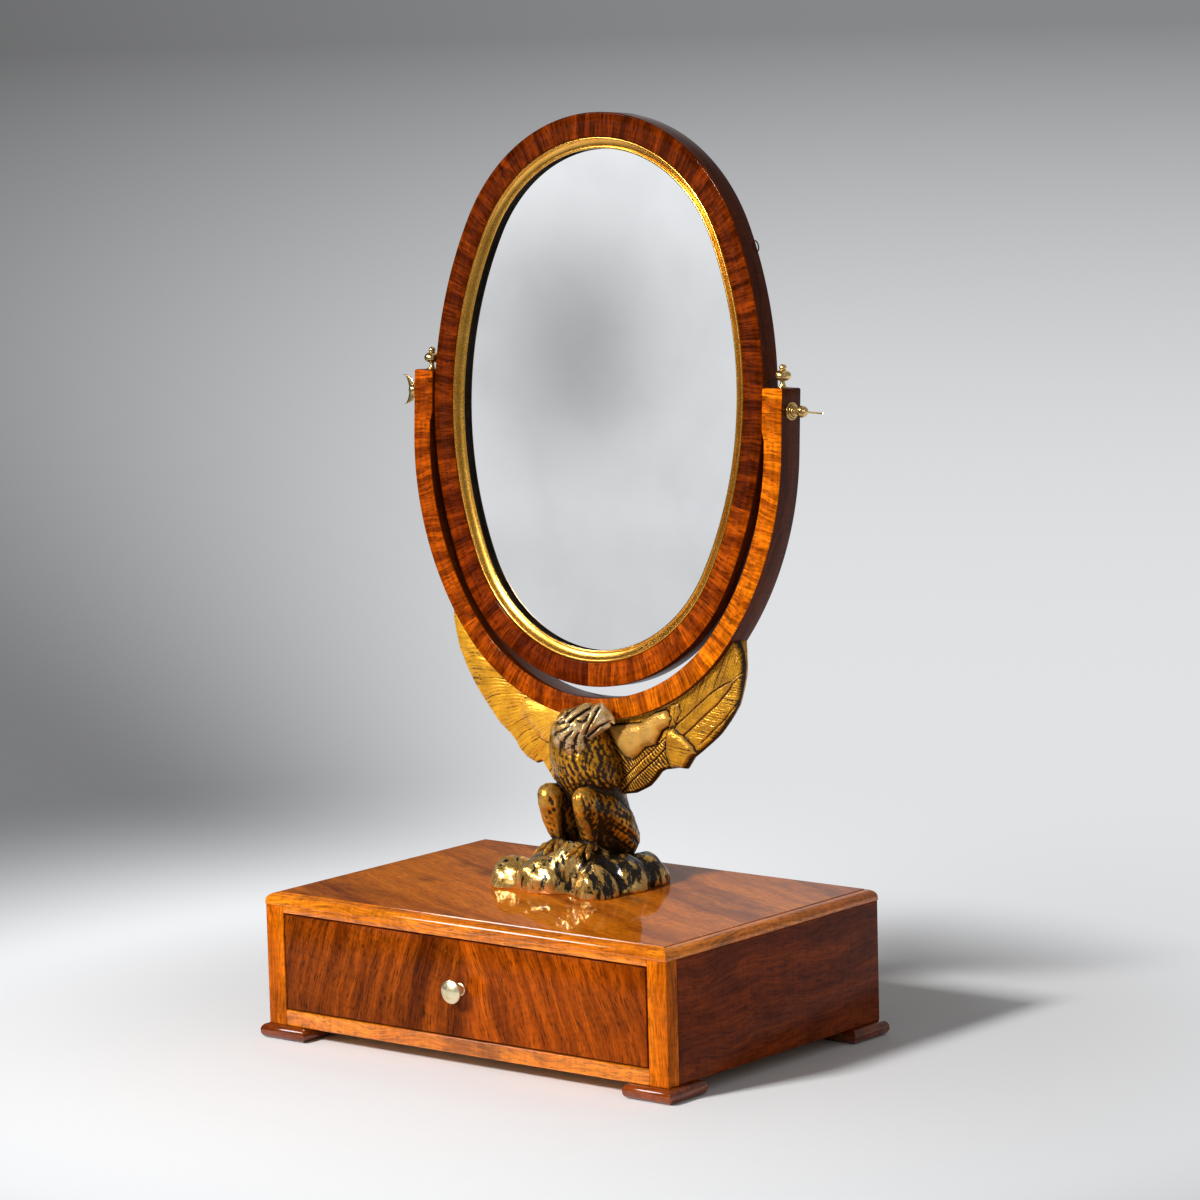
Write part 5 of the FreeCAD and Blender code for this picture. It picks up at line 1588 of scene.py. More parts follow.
def nearness(x: Array, z: Array, line: Sequence[Sequence[float]]) -> Array:
    """How near flat places lie to a line of points with radii.

    The value is the least over the line's lengths of the distance to it over the radius there.

    Args:
        x: places across.
        z: places up.
        line: points with x, z and radius.
    Returns:
        The nearness.
    """
    least = np.full(np.shape(x), 9.0)
    for (x0, z0, r0), (x1, z1, r1) in zip(line, line[1:]):
        way = np.array([x1 - x0, z1 - z0])
        share = np.clip(((x - x0) * way[0] + (z - z0) * way[1]) / (way @ way), 0, 1)
        gap = np.hypot(x - x0 - share * way[0], z - z0 - share * way[1])
        least = np.minimum(least, gap / (r0 + (r1 - r0) * share))
    return least


def dome(near: Array, height: float) -> Array:
    """Rounded ridge: height times the root of 1 less nearness squared."""
    return height * np.sqrt(np.clip(1 - near ** 2, 0, 1))


def cut(near: Array, depth: float) -> Array:
    """Soft groove: less depth times e to the power of less nearness squared."""
    return -depth * np.exp(-near ** 2)


def within(x: Array, z: Array, outline: Sequence[Sequence[float]]) -> Array:
    """Distance to a closed outline, positive inside, where a level line to the right crosses an odd count of sides.

    Args:
        x: places across.
        z: places up.
        outline: corners with x and z.
    Returns:
        The distance.
    """
    corners = [(*corner, 1.0) for corner in outline]
    ring = corners + corners[:1]
    gap = nearness(x, z, ring)
    crossed = sum((((z0 > z) != (z1 > z)) & (x < (x1 - x0) * (z - z0) / (z1 - z0 + 1e-9) + x0)).astype(int)
                  for (x0, z0, _), (x1, z1, _) in zip(ring, ring[1:]))
    return np.where(crossed % 2 == 1, gap, -gap)


TRUNK = np.array([  # height, x, y, half x, half y
    (22, 0, 45, 27.5, 21.5), (36, 0, 45.5, 29, 22.5), (52, 0, 43.5, 28.5, 22.5), (70, 0, 37, 27.5, 23.5),
    (82, 0.5, 32.5, 27.5, 25), (90, 1.5, 28, 29.5, 27), (98, 1.5, 25.5, 30.3, 27.3), (108, 0.5, 22.8, 29.8, 25.7),
    (116, -1.5, 22.5, 28.2, 24.2), (124, -3.3, 22.7, 26.5, 22.5), (132, -3.5, 20, 23, 18.5), (140, -3, 17, 17, 13.5),
    (147, -3, 16, 10, 8)], float)
SKULL = np.array([  # along the beak, rise, side, half rise, half side
    (-25, -6.5, 0, 7, 6), (-22, -5, 0, 9.6, 9.2), (-16, -3.2, 0, 11.8, 12.2), (-8, -1.8, 0, 13, 13.4),
    (0, -0.9, 0, 13.6, 13), (7, -1.0, 0, 13.4, 11), (12, -1.3, 0, 12.2, 9), (15, -1.9, 0, 10.8, 7.8),
    (20, -1.4, 0, 10.4, 6.2), (23.5, -0.6, 0, 8.9, 4.9), (26, -2, 0, 6.8, 3.5), (27.4, -4.2, 0, 4.2, 2.0)], float)
MANE = np.array([(-9, -4, 0, 12.8), (-11, -11, 0.5, 12.6), (-10.5, -17, 1.0, 11.0)], float)
JAW = np.array([(0, -11, 0, 6.6), (12, -11.2, 0, 4.4), (22.5, -11.4, 0, 1.8)], float)
HOOK = np.array([(24.5, -1.5, 0, 3.6), (27.0, -7, 0, 2.4), (27.0, -11.0, 0, 0.9)], float)
FACE_GROOVES = (  # lines along the beak, rise and radius, and their depth
    (((24.2, 7.4, 0.8), (14.5, -1.2, 1.0), (4.0, -10.4, 1.1)), 1.5),
    (((4.5, -13.0, 1.1), (16.5, -8.8, 1.1), (26.5, -8.6, 0.9)), 1.8),
    (((-3.5, 3.2, 1.1), (2.5, 5.6, 1.5), (9.5, 7.0, 1.5), (13.5, 7.4, 1.0)), 1.9),
    (((2.6, 2.0, 1.0), (5.6, -0.6, 1.2), (9.4, -0.2, 1.2), (12.0, 3.0, 1.0)), 1.3),
    (((17.2, 3.8, 0.9), (20.2, 5.4, 0.9)), 1.2),
    (((-16.0, 6.4, 1.0), (-5.0, 10.0, 1.2), (3.0, 11.2, 0.8)), 0.8))
FACE_RIDGES = (  # lines along the beak, rise and radius, and their height
    (((-6.0, 5.6, 1.8), (2.0, 8.6, 2.9), (9.0, 10.2, 2.9), (13.6, 10.0, 1.8)), 2.1),
    (((21.6, 8.4, 1.4), (12.2, 0.4, 1.7), (2.2, -8.4, 1.6)), 0.8),
    (((6.9, 3.0, 2.2), (7.3, 3.0, 2.2)), 1.5),
    (((1.0, -3.5, 4.0), (8.0, -5.5, 4.0)), 0.9))


@dataclass
class Eagle:
    """Carved eagle: trunk, drawn-up legs and toes in one skin, and the turned head with its mane in another."""

    base: tuple[float, float, float] = TOP_MIDDLE
    head_at: tuple[float, float, float] = (8.0, 9.0, 139.0)
    head_turn: float = 24.0
    head_lift: float = 21.0
    body_step: float = 0.72
    head_step: float = 0.5

    def build(self) -> None:
        """Carve the body and the head and put their skins in."""
        self.body()
        self.head()

    def body(self) -> None:
        """Trunk, legs and the tufts at the waist, with feathers cut into the skin."""
        clay = Clay((-42.0, -24.0, 22.0), (42.0, 74.0, 152.0), self.body_step)
        clay.add(Loft(UPRIGHT, TRUNK), 3.0)
        for side in Side:
            self.leg(clay, side)
        self.tufts(clay)
        clay.emboss(self.plumage)
        clay.piece("eagle_carving", WORN_GOLD, self.base, ["eagle_body"], self.soiled_and_shaded)

    @staticmethod
    def soiled_and_shaded(place: Array) -> Array:
        """Depth to add, which darkens the gilding: deeper to the right, which is painted shade on the side away from
        the light; deeper down on the thighs and on the toes; and uneven.

        Args:
            place: places in the block.
        Returns:
            The depth to add.
        """
        x, _, z = place.T
        # rightward is painted shade on the eagle's side away from the light.
        rightward, low = ramp(x + 20.0, 32.0), ramp(84.0 - z, 20.0)
        toes = ramp(42.0 - z, 6.0)
        return 0.36 * rightward + 0.08 * low + 0.2 * toes - 0.05 + 0.2 * waves(place, 7.0, 9)

    def head_frame(self) -> Frame:
        """Axes of the head: along the beak, up through the crown, and out at the near cheek.

        Returns:
            The frame.
        """
        turn, lift = math.radians(self.head_turn), math.radians(self.head_lift)
        along = np.array([math.cos(turn) * math.cos(lift), math.sin(turn) * math.cos(lift), math.sin(lift)])
        crown = np.array([-math.cos(turn) * math.sin(lift), -math.sin(turn) * math.sin(lift), math.cos(lift)])
        return Frame(self.head_at, np.array([along, crown, np.cross(along, crown)]))

    def head(self) -> None:
        """Skull, mane, lower jaw and hooked beak, with the face and the locks cut into the skin."""
        axes = self.head_frame()
        clay = Clay((-36.0, -22.0, 98.0), (42.0, 42.0, 158.0), self.head_step)
        clay.add(Loft(axes, SKULL), 3.0)
        for line, soft in ((MANE, 4.0), (JAW, 2.2), (HOOK, 1.6)):
            clay.add(Strand(axes.outside(line[:, :3]), line[:, 3]), soft)
        clay.emboss(self.face)
        clay.piece("eagle_head_carving", HEAD_GOLD, self.base, soil_and_shade=self.darkened)

    def darkened(self, place: Array) -> Array:
        """Depth to add on the head, which darkens it: deepest in the eye, deep on the mane and below, little on crown,
        brow and beak.

        Args:
            place: places in the block.
        Returns:
            The depth to add.
        """
        along, rise, _ = self.head_frame().inside(place).T
        mane, below = ramp(-2.0 - along, 8.0), ramp(-4.0 - rise, 8.0)
        pupil = np.exp(-((along - 7.1) ** 2 + (rise - 3.0) ** 2) / 1.7)
        below = below * ramp(14.0 - along, 6.0)
        return 0.26 * mane + 0.26 * below + pupil - 0.15 + 0.1 * waves(place, 6.0, 12)

    def face(self, place: Array) -> Array:
        """Relief of the head in millimetres.

        Face: grooves and ridges by their lines along the beak and up. Mane: locks that fan out from the
        brow by the bearing from it, each rounded, with staggered tips, growing from the cheek backwards.

        Args:
            place: places in the block.
        Returns:
            The relief.
        """
        along, rise, side = self.head_frame().inside(place).T
        flank = ramp(np.abs(side) - 1.0, 2.0)
        face = sum(cut(nearness(along, rise, line), depth) for line, depth in FACE_GROOVES)
        face = face + sum(dome(nearness(along, rise, line), height) for line, height in FACE_RIDGES)
        reach, bearing = np.hypot(along - 12.0, rise - 6.0), np.arctan2(6.0 - rise, 12.0 - along)
        count = bearing / 0.285 + 0.16 * np.sin(reach / 5.0 + 4.0 * bearing)
        lock = np.floor(count)
        turn = count - lock
        stagger = np.modf(np.abs(lock) * 0.618)[0]
        grown = ramp(reach - 15.0 - 3.0 * stagger, 4.0) * ramp(4.0 - along, 4.0)
        tip = ramp(reach - 28.0 - 5.0 * stagger, 1.2)
        body = 2.0 * np.abs(np.sin(np.pi * turn)) ** 0.6 - 1.1 + 0.14 * np.cos(2 * np.pi * 3 * turn) - 0.9 * tip
        return flank * face + grown * body + 0.12 * waves(place, 3.2, 4)

    def leg(self, clay: Clay, side: Side) -> None:
        """Feathered thigh that runs back from a domed knee, a tapered shank and three clawed toes.

        Args:
            clay: the block that it is joined to.
            side: which leg.
        """
        mirror = np.array([side.value, 1.0, 1.0])
        thigh = np.array([(18, 5, 76, 9.5), (20.5, 22, 65, 14.0), (19.5, 37, 51, 17.0), (17.5, 45, 38, 17.0)])
        clay.add(Strand(thigh[:, :3] * mirror, thigh[:, 3]), 4.0)
        fold = np.array([(17.5, 12, 66, 10.5), (17.0, 18, 52, 10.0), (16.0, 26, 40, 9.5)])
        clay.add(Strand(fold[:, :3] * mirror, fold[:, 3]), 4.0)
        shank = np.array([(18.3, 0.0, 77.0, 10.2), (18.3, 0.5, 71, 10.2), (18.0, 2.5, 60, 8.8), (17.4, 5.5, 49, 6.8),
                          (16.9, 9.0, 40, 4.9), (16.6, 10, 34, 4.9)])
        clay.add(Strand(shank[:, :3] * mirror, shank[:, 3]), 3.0)
        for turn in (-14.0, 10.0, 34.0):
            sine, cosine = math.sin(math.radians(turn)), math.cos(math.radians(turn))
            toe = np.array([(-2, 38.0, 3.4), (6, 37.4, 3.2), (11, 36.4, 2.3), (15, 35.6, 2.7), (19, 33.8, 1.9),
                            (21, 33.4, 2.0), (25.5, 30.6, 0.5)])
            line = np.stack([16.6 * side.value + toe[:, 0] * sine, 8.0 - toe[:, 0] * cosine, toe[:, 1]], 1)
            clay.add(Strand(line, toe[:, 2]), 0.8)

    def tufts(self, clay: Clay) -> None:
        """Two rows of short curls round the waist: strands laid on the trunk's ovals, tips down.

        Args:
            clay: the block that they are joined to.
        """
        for top, drop, thick, turns in ((93.0, 6.5, 2.5, np.arange(-84, 91, 11.0)),
                                        (88.0, 6.0, 2.2, np.arange(-66, 70, 10.0))):
            for turn in np.radians(turns):
                height = top - np.array([0.0, 0.55, 1.0]) * drop + 2.2 * math.sin(7 * turn)
                x, y, half_x, half_y = (np.interp(height, TRUNK[:, 0], TRUNK[:, n]) for n in (1, 2, 3, 4))
                out, bend = np.array([-2.4, -0.9, -0.6]), turn + np.array([0.0, 0.02, 0.09])
                line = np.stack([x + (half_x + out) * np.sin(bend), y - (half_y + out) * np.cos(bend), height], 1)
                clay.add(Strand(line, (thick, thick * 0.8, 0.9)), 0.8)

    def plumage(self, place: Array) -> Array:
        """Relief of the feathers in millimetres.

        Breast: fine wandering streaks and shallow flutes by the turn round the trunk and the height.
        Thighs: long grooves that fall towards the back. Shanks: flutes by the turn round the shank.

        Args:
            place: places in the block.
        Returns:
            The relief.
        """
        x, y, z = place.T
        axis_x, axis_y = (np.interp(z, TRUNK[:, 0], TRUNK[:, n]) for n in (1, 2))
        girth = 27.0 * np.arctan2(x - axis_x, axis_y - y)
        wander = 1.5 * np.sin(z / 9.0 + girth / 6.0) + 0.8 * np.sin(z / 4.1 + girth / 13.0)
        streak = np.cos((girth + wander) * 2 * np.pi / 2.0) * (0.6 + 0.4 * np.sin(z / 5.0 + girth / 3.0))
        flute = np.cos((girth + 1.6 * wander) * 2 * np.pi / 8.5)
        breast = ramp(z - 84.0, 5.0)
        belly = ramp(84.0 - z, 4.0) * ramp(z - 70.0, 6.0)
        fall = (z + 0.9 * y + 3.2 * np.sin(y / 9.0) + 2.0 * np.sin(z / 6.0 + y / 5.0)) / 1.35
        thigh = ramp(76.0 - z, 10.0) * ramp(z - 30.0, 6.0) * ramp(y - 13.0, 6.0)
        groove = np.abs(np.sin(fall * np.pi / 8.0)) ** 0.7 - 0.7
        fine = np.cos((fall + 0.1 * y) * 2 * np.pi / 2.6)
        shank_y = np.interp(z, [34.0, 48.0, 60.0, 78.0], [10.0, 6.5, 3.0, 0.0])
        round_shank = np.arctan2(np.abs(x) - 17.6, shank_y - y)
        shank = ramp(82.0 - z, 6.0) * ramp(z - 38.0, 4.0) * ramp(13.0 - y, 4.0)
        wisp = streak * (0.5 + 0.5 * np.sin(z / 2.2 + girth / 1.7 + np.sin(girth / 4.0)))
        return (breast * (0.12 * wisp + 0.12 * flute) + 0.3 * belly * streak + thigh * (0.75 * groove + 0.08 * fine)
                + 0.5 * shank * np.cos(4.0 * round_shank + z / 12.0) + 0.2 * waves(place, 4.5, 3))


@dataclass
class Rock:
    """Low heap of faceted stones under the eagle."""

    base: tuple[float, float, float] = TOP_MIDDLE
    step: float = 0.9
    stones: tuple[tuple[float, ...], ...] = (
        (-6, 22, 52, 45, 37, 0), (-48, -7, 25, 17, 27, 24), (-18, -6, 28, 23, 31, 8), (31, -4, 26, 19, 29, -35),
        (38, 27, 20, 17, 32, 5), (34, 52, 23, 19, 29, 40), (-2, 61, 26, 20, 28, -8), (-40, 42, 28, 23, 26, -35))

    def build(self) -> None:
        """Heap the stones, roughen them and put their skin in, cut flat where it stands."""
        clay = Clay((-80.0, -36.0, -2.7), (66.0, 90.0, 42.0), self.step)
        for seed, (x, y, length, width, height, heading) in enumerate(self.stones):
            clay.add(Boulder((x, y, 0.0), (length * 1.06, width * 1.06, height * 1.04), heading, seed + 11), 3.0)
        clay.field = clay.blurred(5)
        clay.emboss(lambda place: 0.6 * waves(place, 18.0, 5) + 0.13 * waves(place, 5.0, 6))
        clay.field = np.maximum(clay.field, -clay.place[..., 2])
        clay.piece("rock_carving", ROCK_GOLD, self.base, ["rock_base"], self.soiled_and_shaded)

    @staticmethod
    def soiled_and_shaded(place: Array) -> Array:
        """Depth to add, which darkens the gilding: deeper on top; deeper to the right, which is painted shade on the
        side away from the light; and deeper at the foot.

        Args:
            place: places in the block.
        Returns:
            The depth to add.
        """
        x, y, z = place.T
        # rightward is painted shade on the rock's side away from the light.
        top, rightward = ramp(z + 0.1 * y - 18.0, 11.0), ramp(x - 12.0, 24.0)
        return 0.34 * top + 0.56 * rightward + 0.5 * ramp(3.0 - z, 3.0) - 0.14


RIGHT_CONTOUR = (
    (10.0, -322.5), (28.8, -321.4), (39.3, -319.6), (53.8, -312.5), (59.9, -306.2), (65.0, -300.0), (70.0, -297.5),
    (83.5, -295.0), (92.2, -295.0), (95.7, -289.8), (98.7, -285.5), (110.8, -276.3), (124.9, -264.5), (136.8, -249.7),
    (143.7, -238.7), (147.5, -225.5), (149.3, -216.5), (149.7, -206.8), (148.0, -196.5), (143.8, -187.0))
LEFT_CONTOUR = (
    (10.0, -322.5), (30.0, -321.0), (48.3, -315.2), (54.8, -307.5), (59.2, -302.0), (65.7, -304.4), (76.5, -300.2),
    (83.1, -295.0), (87.5, -288.7), (94.2, -282.5), (105.2, -275.0), (118.5, -261.0), (129.6, -248.5), (140.8, -232.6),
    (149.8, -216.4), (155.5, -198.0), (156.3, -192.4), (156.6, -186.0), (155.0, -180.0), (152.0, -175.5))
SHOULDER = ((18, -266), (27.6, -281.3), (35, -288.9), (41.3, -290.8), (47.6, -286.9), (54.7, -279.7), (65.1, -276.3),
            (70, -267.8), (71, -264.5), (79.5, -259.6), (82.5, -253.7), (77, -247.7), (66, -251), (51, -260.5),
            (32.6, -263))
ELBOW = ((77.4, -264.5), (82.5, -262.0), (91.8, -267.4), (101, -275.2), (105, -284.7), (99.5, -296), (79, -299),
         (74.6, -284.4), (75.4, -272.1))
COVERT = ((80.1, -243.1), (88.3, -240.8), (90.5, -247.9), (84.5, -259), (78.4, -262))


@dataclass
class Wing:
    """One spread wing: a relief between the yoke's underside and a feathered contour.

    It is worked in x and height about the pivot line, in turn and radius about the yoke's end centre.
    """

    side: Side
    lean: float = YOKE_LEAN
    centre: float = -85.2
    inner: float = 175.0

    @property
    def sign(self) -> float:
        """1 on the right and -1 on the left."""
        return self.side.value

    @property
    def contour(self) -> Array:
        """Outer edge in x and height from the root to the tip; the two wings were carved a little apart."""
        return np.array(RIGHT_CONTOUR if self.sign > 0 else LEFT_CONTOUR)

    def build(self) -> None:
        """Make the relief, its thin rounded edge and its plainer back as one closed shell."""
        edge = self.contour
        turns = np.arctan2(edge[:, 0], self.centre - edge[:, 1])
        turn = np.linspace(turns[0], turns[-1], 380)
        outer = np.interp(turn, turns, np.hypot(edge[:, 0], self.centre - edge[:, 1]))
        share = 1 - (1 - np.linspace(0, 1, 150)) ** 1.12
        back_share = share[np.linspace(0, 149, 50).astype(int)]
        front_at, back_at = (self.places(turn, outer, s) for s in (share, back_share))
        x, z, from_edge = front_at
        relief = self.feathers(x, z) * ramp(from_edge, 2.5)
        front = -6.0 + 5.0 * share ** 2 - relief + self.drawn_in(from_edge)
        # Darker in the hollows and within 3 mm of the outer edge; paler on the smooth shoulder, as the leaf's burnish
        # and a painted highlight.
        soil_and_shade = self.hollows(front) - 0.9 * self.smooth(x, z) + 0.7 * np.clip(1 - from_edge / 3.0, 0, 1)
        # Painted shade: the right wing's panel under the shoulder is darkened.
        if self.sign > 0:
            soil_and_shade = soil_and_shade + 0.3 * self.panel(x, z) * (within(x, z, SHOULDER) < 0)
        x, z, from_edge = back_at
        ribs = 0.35 * np.cos((x + 0.5 * z) * 2 * np.pi / 7.0) * ramp(from_edge, 4.0)
        back = 13.5 - 7.5 * back_share ** 1.5 - self.drawn_in(from_edge) + ribs
        depth = np.concatenate([front, back[:, ::-1]], 1)
        plan = [np.concatenate([a, b[:, ::-1]], 1) for a, b in zip(front_at[:2], back_at[:2])]
        hollow = np.concatenate([soil_and_shade, np.zeros_like(back)], 1)
        points = np.stack([plan[0] * self.sign, depth, plan[1]], -1)
        uv = np.pad(np.stack(self.lie(*plan), -1), ((0, 0), (0, 1), (0, 0)), mode="wrap")
        shell = Shell()
        shell.tube(leaned(points, self.lean), 0, uv, hollow=hollow)
        gold, label = RIGHT_GOLD_PAINTED_DARKER if self.sign > 0 else LEFT_GOLD_PAINTED_LIGHTER, self.side.label
        shell.piece(f"eagle_{label}_feathers", [gold], Body.STAND, Slot.CARVING, [f"eagle_{label}_wing"], 70.0)

    def places(self, turn: Array, outer: Array, share: Array) -> tuple[Array, Array, Array]:
        """Grid in x and height: radius = inner + share of the width, at each turn; and the way to the edge.

        Args:
            turn: turns about the centre.
            outer: radius of the contour at each turn.
            share: shares of the width.
        Returns:
            Grids of x, height and way to the edge.
        """
        width = (outer - self.inner)[:, None]
        radius = self.inner + share * width
        from_edge = np.minimum((1 - share) * width, (turn[-1] - turn)[:, None] * radius)
        return radius * np.sin(turn)[:, None], self.centre - radius * np.cos(turn)[:, None], from_edge

    @staticmethod
    def drawn_in(from_edge: Array) -> Array:
        """How far a rounded edge of 3.2 mm draws in: radius less the root of radius squared less the rest."""
        return 3.2 * (1 - np.sqrt(1 - np.clip(1 - from_edge / 3.2, 0, 1) ** 2))

    @staticmethod
    def hollows(front: Array) -> Array:
        """How far each place lies behind the mean of those round it, -1 to 1.

        Args:
            front: depth of the front.
        Returns:
            The carving depth.
        """
        mean = front.copy()
        for axis in (0, 1) * 6:
            mean = (np.roll(mean, 1, axis) + np.roll(mean, -1, axis) + mean) / 3
        return np.clip((front - mean) / 0.6, -1, 1)

    def smooth(self, x: Array, z: Array) -> Array:
        """Share of the smooth shoulder, which is made paler: the leaf's burnish, and a painted highlight.

        Args:
            x: distance from the middle.
            z: height about the pivot line.
        Returns:
            The share.
        """
        if self.sign > 0:
            return ramp(within(x, z, SHOULDER), 5.0)
        return dome(nearness(x, z, [(26, -270, 26), (48, -268, 22), (66, -259, 16)]), 0.25)

    def lie(self, x: Array, z: Array) -> tuple[Array, Array]:
        """Lie of the feathers in millimetres: across them and along them, for relief and for scratched lines.

        Left: by the bearing and the reach from the wing's root. Right: along the quill, sheared to the barbs.

        Args:
            x: distance from the middle.
            z: height about the pivot line.
        Returns:
            Way across and way along.
        """
        if self.sign < 0:
            bearing, reach = np.arctan2(z + 256.0, x - 6.0), np.hypot(z + 256.0, x - 6.0)
            return 75.0 * (bearing + 0.0022 * (reach - 60.0)), reach
        along, above = self.quill_place(x, z)
        slope = np.where(above > 0, 0.7 + 0.02 * np.clip(along, 0, 60), -0.9)
        return along - slope * above, above

    @staticmethod
    def quill_place(x: Array, z: Array) -> tuple[Array, Array]:
        """Places along the big quill and above it.

        Args:
            x: distance from the middle.
            z: height about the pivot line.
        Returns:
            Way along and height above.
        """
        start, way = (89.5, -262.6), (0.768, 0.641)
        across, rise = x - start[0], z - start[1]
        return across * way[0] + rise * way[1], rise * way[0] - across * way[1]

    def feathers(self, x: Array, z: Array) -> Array:
        """Relief of the wing in millimetres: the right one in broad feathers, the left in fine long ones.

        Args:
            x: distance from the middle.
            z: height about the pivot line.
        Returns:
            The relief.
        """
        place = np.stack([x, z, np.full_like(x, 40.0 * self.sign)], -1)
        uneven = 0.35 * waves(place, 15.0, 8) + 0.1 * waves(place, 4.0, 9)
        return uneven + (self.broad(x, z) if self.sign > 0 else self.fine(x, z))

    @staticmethod
    def panel(x: Array, z: Array) -> Array:
        """Share of the shaded panel under the right wing's shoulder."""
        return ramp(78 - x, 4) * ramp(-268 - z, 6)

    def broad(self, x: Array, z: Array) -> Array:
        """Quill with barbs on both vanes, an outer feather, a panel, a covert, a mottled elbow and a smooth shoulder.

        The last three are pads within outlines: height times the root of 1 less the square of what is left
        of the way to the edge.

        Args:
            x: distance from the middle.
            z: height about the pivot line.
        Returns:
            The relief.
        """
        along, above = self.quill_place(x, z)
        half = np.interp(along, [-10, 0, 45, 60, 66], [3.0, 4.8, 4.6, 2.4, 0.6])
        quill = 1.1 * np.sqrt(np.clip(1 - (above / half) ** 4, 0, 1))
        ditch = cut((np.abs(above) - half - 0.5) / 0.7, 0.9) * ramp(68 - along, 8)
        across, _ = self.lie(x, z)
        drift = 0.7 * np.sin(x / 5.0 + z / 9.0) + 0.5 * np.sin(z / 3.3 - x / 8.0)
        barb = np.cos((across + drift) * 2 * np.pi / 2.7) + 0.5 * np.cos((across + 1.7 * drift) * 2 * np.pi / 6.3)
        upper = ramp(above - half, 2.0) * ramp(along + 6, 5)
        feather = above + np.interp(along, [0, 20, 40, 62], [19.5, 19.0, 18.0, 14.5])
        lower = ramp(-above - half, 2.0) * ramp(feather, 1.5) * ramp(along - 4, 5)
        outer = ramp(-feather, 1.2) * ramp(along - 2, 5)
        seam = cut(feather / 0.9, 1.1) * ramp(along - 4, 5)
        panel = self.panel(x, z)
        slant = np.cos((0.72 * x + 0.69 * z + 1.4 * np.sin(x / 7) + 0.8 * np.sin(z / 4)) * 2 * np.pi / 2.8)
        swell = 0.7 * np.cos((x - 0.25 * z) * 2 * np.pi / 24.0)
        relief = (quill + ditch + upper * (0.5 + 0.14 * barb) + lower * (0.2 + 0.14 * barb) + outer * 0.8 + seam
                  + panel * (1.2 + 0.26 * slant + swell))
        for outline, edge, height in ((COVERT, 3.5, 2.6), (ELBOW, 7.0, 4.6), (SHOULDER, 9.0, 4.4)):
            left = 1 - ramp(within(x, z, outline), edge)
            pad = height * np.sqrt(1 - left ** 2)
            if outline is SHOULDER:
                pad = pad + (left < 1) * dome(nearness(x, z, [(26, -274, 24), (50, -271, 22), (74, -256, 17)]), 3.2)
            relief = np.where(left < 1, np.maximum(pad, relief * left), relief)
        return relief

    def fine(self, x: Array, z: Array) -> Array:
        """Long fine feathers that spread from the wing's root, and a smooth shoulder.

        Args:
            x: distance from the middle.
            z: height about the pivot line.
        Returns:
            The relief.
        """
        across, reach = self.lie(x, z)
        drift = 0.9 * np.sin(reach / 9.0 + across / 7.0) + 0.5 * np.sin(reach / 4.3)
        vane = np.abs(np.sin((across + 0.8 * drift) * np.pi / 11.0)) ** 0.7
        hair = np.cos((across + drift) * 2 * np.pi / 2.4) * (0.7 + 0.3 * np.sin(reach / 6.0 + across / 4.0))
        grown = ramp(reach - 48.0, 16.0)
        relief = grown * (0.85 * vane + 0.2 * hair)
        return relief + dome(nearness(x, z, [(26, -270, 20), (48, -268, 17), (66, -259, 11)]), 6.5)


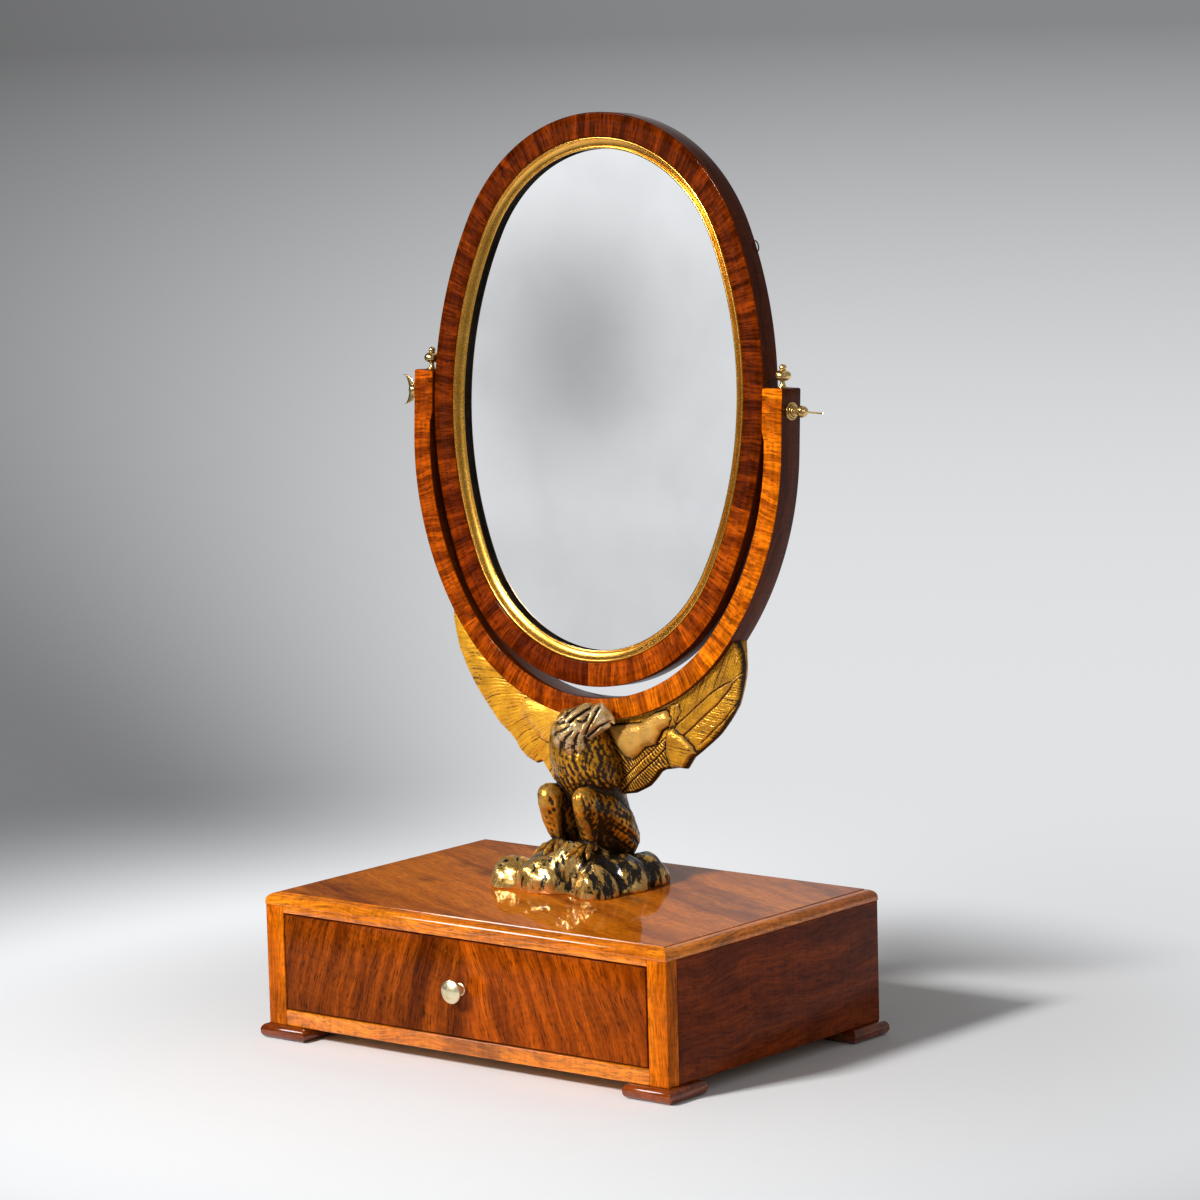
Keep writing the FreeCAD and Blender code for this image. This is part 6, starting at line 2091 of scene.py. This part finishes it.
@dataclass
class Studio:
    """Camera, soft lamps, pale floor and an even pale surround."""

    camera_at: tuple[float, float, float] = (2.547449, -3.054212, 0.933399)
    camera_way: tuple[float, float, float] = (-0.627307, 0.765659, -0.142308)
    camera_up: tuple[float, float, float] = (-0.069598, 0.126885, 0.989473)
    lens: float = 148.72
    surround: float = 0.2
    glass_height: float = 0.5

    def build(self) -> None:
        """Make the camera, the lamps, the floor and the world."""
        scene = bpy.context.scene
        scene.view_settings.view_transform = "Standard"
        self.camera()
        self.lamp("key", (-0.55, -2.5, 1.85), (0.0, 0.0, 0.3), 0.45, 96.0)
        self.lamp("fill", (2.6, -0.9, 1.6), (0.0, 0.0, 0.3), 1.6, 3.0)
        self.floor()
        self.world()

    def camera(self) -> None:
        """Camera where the photograph was taken from."""
        way, up = Vector(self.camera_way), Vector(self.camera_up)
        turn = Matrix((way.cross(up), up, -way)).transposed()
        data = bpy.data.cameras.new("camera")
        data.lens = self.lens
        made = bpy.data.objects.new("camera", data)
        made.matrix_world = Matrix.Translation(self.camera_at) @ turn.to_4x4()
        bpy.context.scene.collection.objects.link(made)
        bpy.context.scene.camera = made

    def lamp(self, name: str, at: Colour, aim: Colour, size: float, power: float) -> None:
        """Square soft lamp that faces its aim.

        Args:
            name: the lamp's name.
            at: where it stands, in metres.
            aim: what it faces.
            size: edge in metres.
            power: power in watts.
        """
        data = bpy.data.lights.new(name, "AREA")
        data.size, data.energy = size, power
        made = bpy.data.objects.new(name, data)
        turn = (Vector(aim) - Vector(at)).to_track_quat("-Z", "Y")
        made.matrix_world = Matrix.Translation(at) @ turn.to_matrix().to_4x4()
        bpy.context.scene.collection.objects.link(made)

    def seen(self, graph: Graph) -> Socket:
        """1 for rays from the camera, a reflection or a refraction.

        Args:
            graph: the material's graph.
        Returns:
            The share.
        """
        path = graph.node("LightPath").outputs
        return graph.math("MAXIMUM", path["Is Camera Ray"],
                          graph.math("MAXIMUM", path["Is Glossy Ray"], path["Is Transmission Ray"]))

    def floor(self) -> None:
        """Round pale floor that takes the shadow near the object and melts into the surround far off."""
        radius = np.array([0.0, 0.5, 1.0, 2.0, 4.0, 10.0, 30.0, 120.0]) / MM
        turn = np.linspace(0, 2 * np.pi, 64, endpoint=False)
        points = np.stack(np.broadcast_arrays(
            radius[:, None] * np.cos(turn), radius[:, None] * np.sin(turn), np.zeros((1, 1))), -1)
        shell = Shell()
        shell.grid(points, closed=(False, True))
        made = bpy.data.objects.new("floor", shell.mesh("floor", 180.0))
        material = bpy.data.materials.new("pale floor")
        material.use_nodes = True
        material.node_tree.nodes.clear()
        graph = Graph(material.node_tree)
        place = graph.node("TexCoord").outputs["Object"]
        far = graph.vector("LENGTH", place)
        share = graph.math("MULTIPLY", graph.step(far, 0.32, 0.66), self.seen(graph))
        way = graph.vector("SUBTRACT", place, (0.0, 0.0, self.glass_height))
        tone = StudioTone().place(graph, {"Way": way})["Color"]
        plain = graph.node("BsdfDiffuse", {"Color": (0.94, 0.94, 0.94, 1.0)}).outputs[0]
        glow = graph.node("Emission", {"Color": tone}).outputs[0]
        graph.surface(graph.node("MixShader", {0: share, 1: plain, 2: glow}).outputs[0])
        made.data.materials.append(material)
        bpy.context.scene.collection.objects.link(made)

    def world(self) -> None:
        """Even surround that lights the object, seen as the studio's tone."""
        world = bpy.data.worlds.new("studio")
        bpy.context.scene.world = world
        world.use_nodes = True
        world.node_tree.nodes.clear()
        graph = Graph(world.node_tree)
        tone = StudioTone().place(graph, {"Way": graph.node("TexCoord").outputs["Generated"]})["Color"]
        even = (self.surround, self.surround, self.surround, 1.0)
        colour = graph.blend(self.seen(graph), even, tone)
        shade = graph.node("Background", {"Color": colour}).outputs[0]
        graph.node("OutputWorld", {"Surface": shade})


def main() -> None:
    """Build the studio and each sub-assembly in order."""
    logging.basicConfig(level=logging.INFO, format="%(message)s", stream=sys.stdout)
    for part in (Studio(), Case(), Drawer(), Yoke(), MirrorFrame(), Brasses(), Eagle(), Rock(),
                 Wing(Side.LEFT), Wing(Side.RIGHT)):
        log.info("building %s", type(part).__name__)
        part.build()


if __name__ == "__main__":
    main()
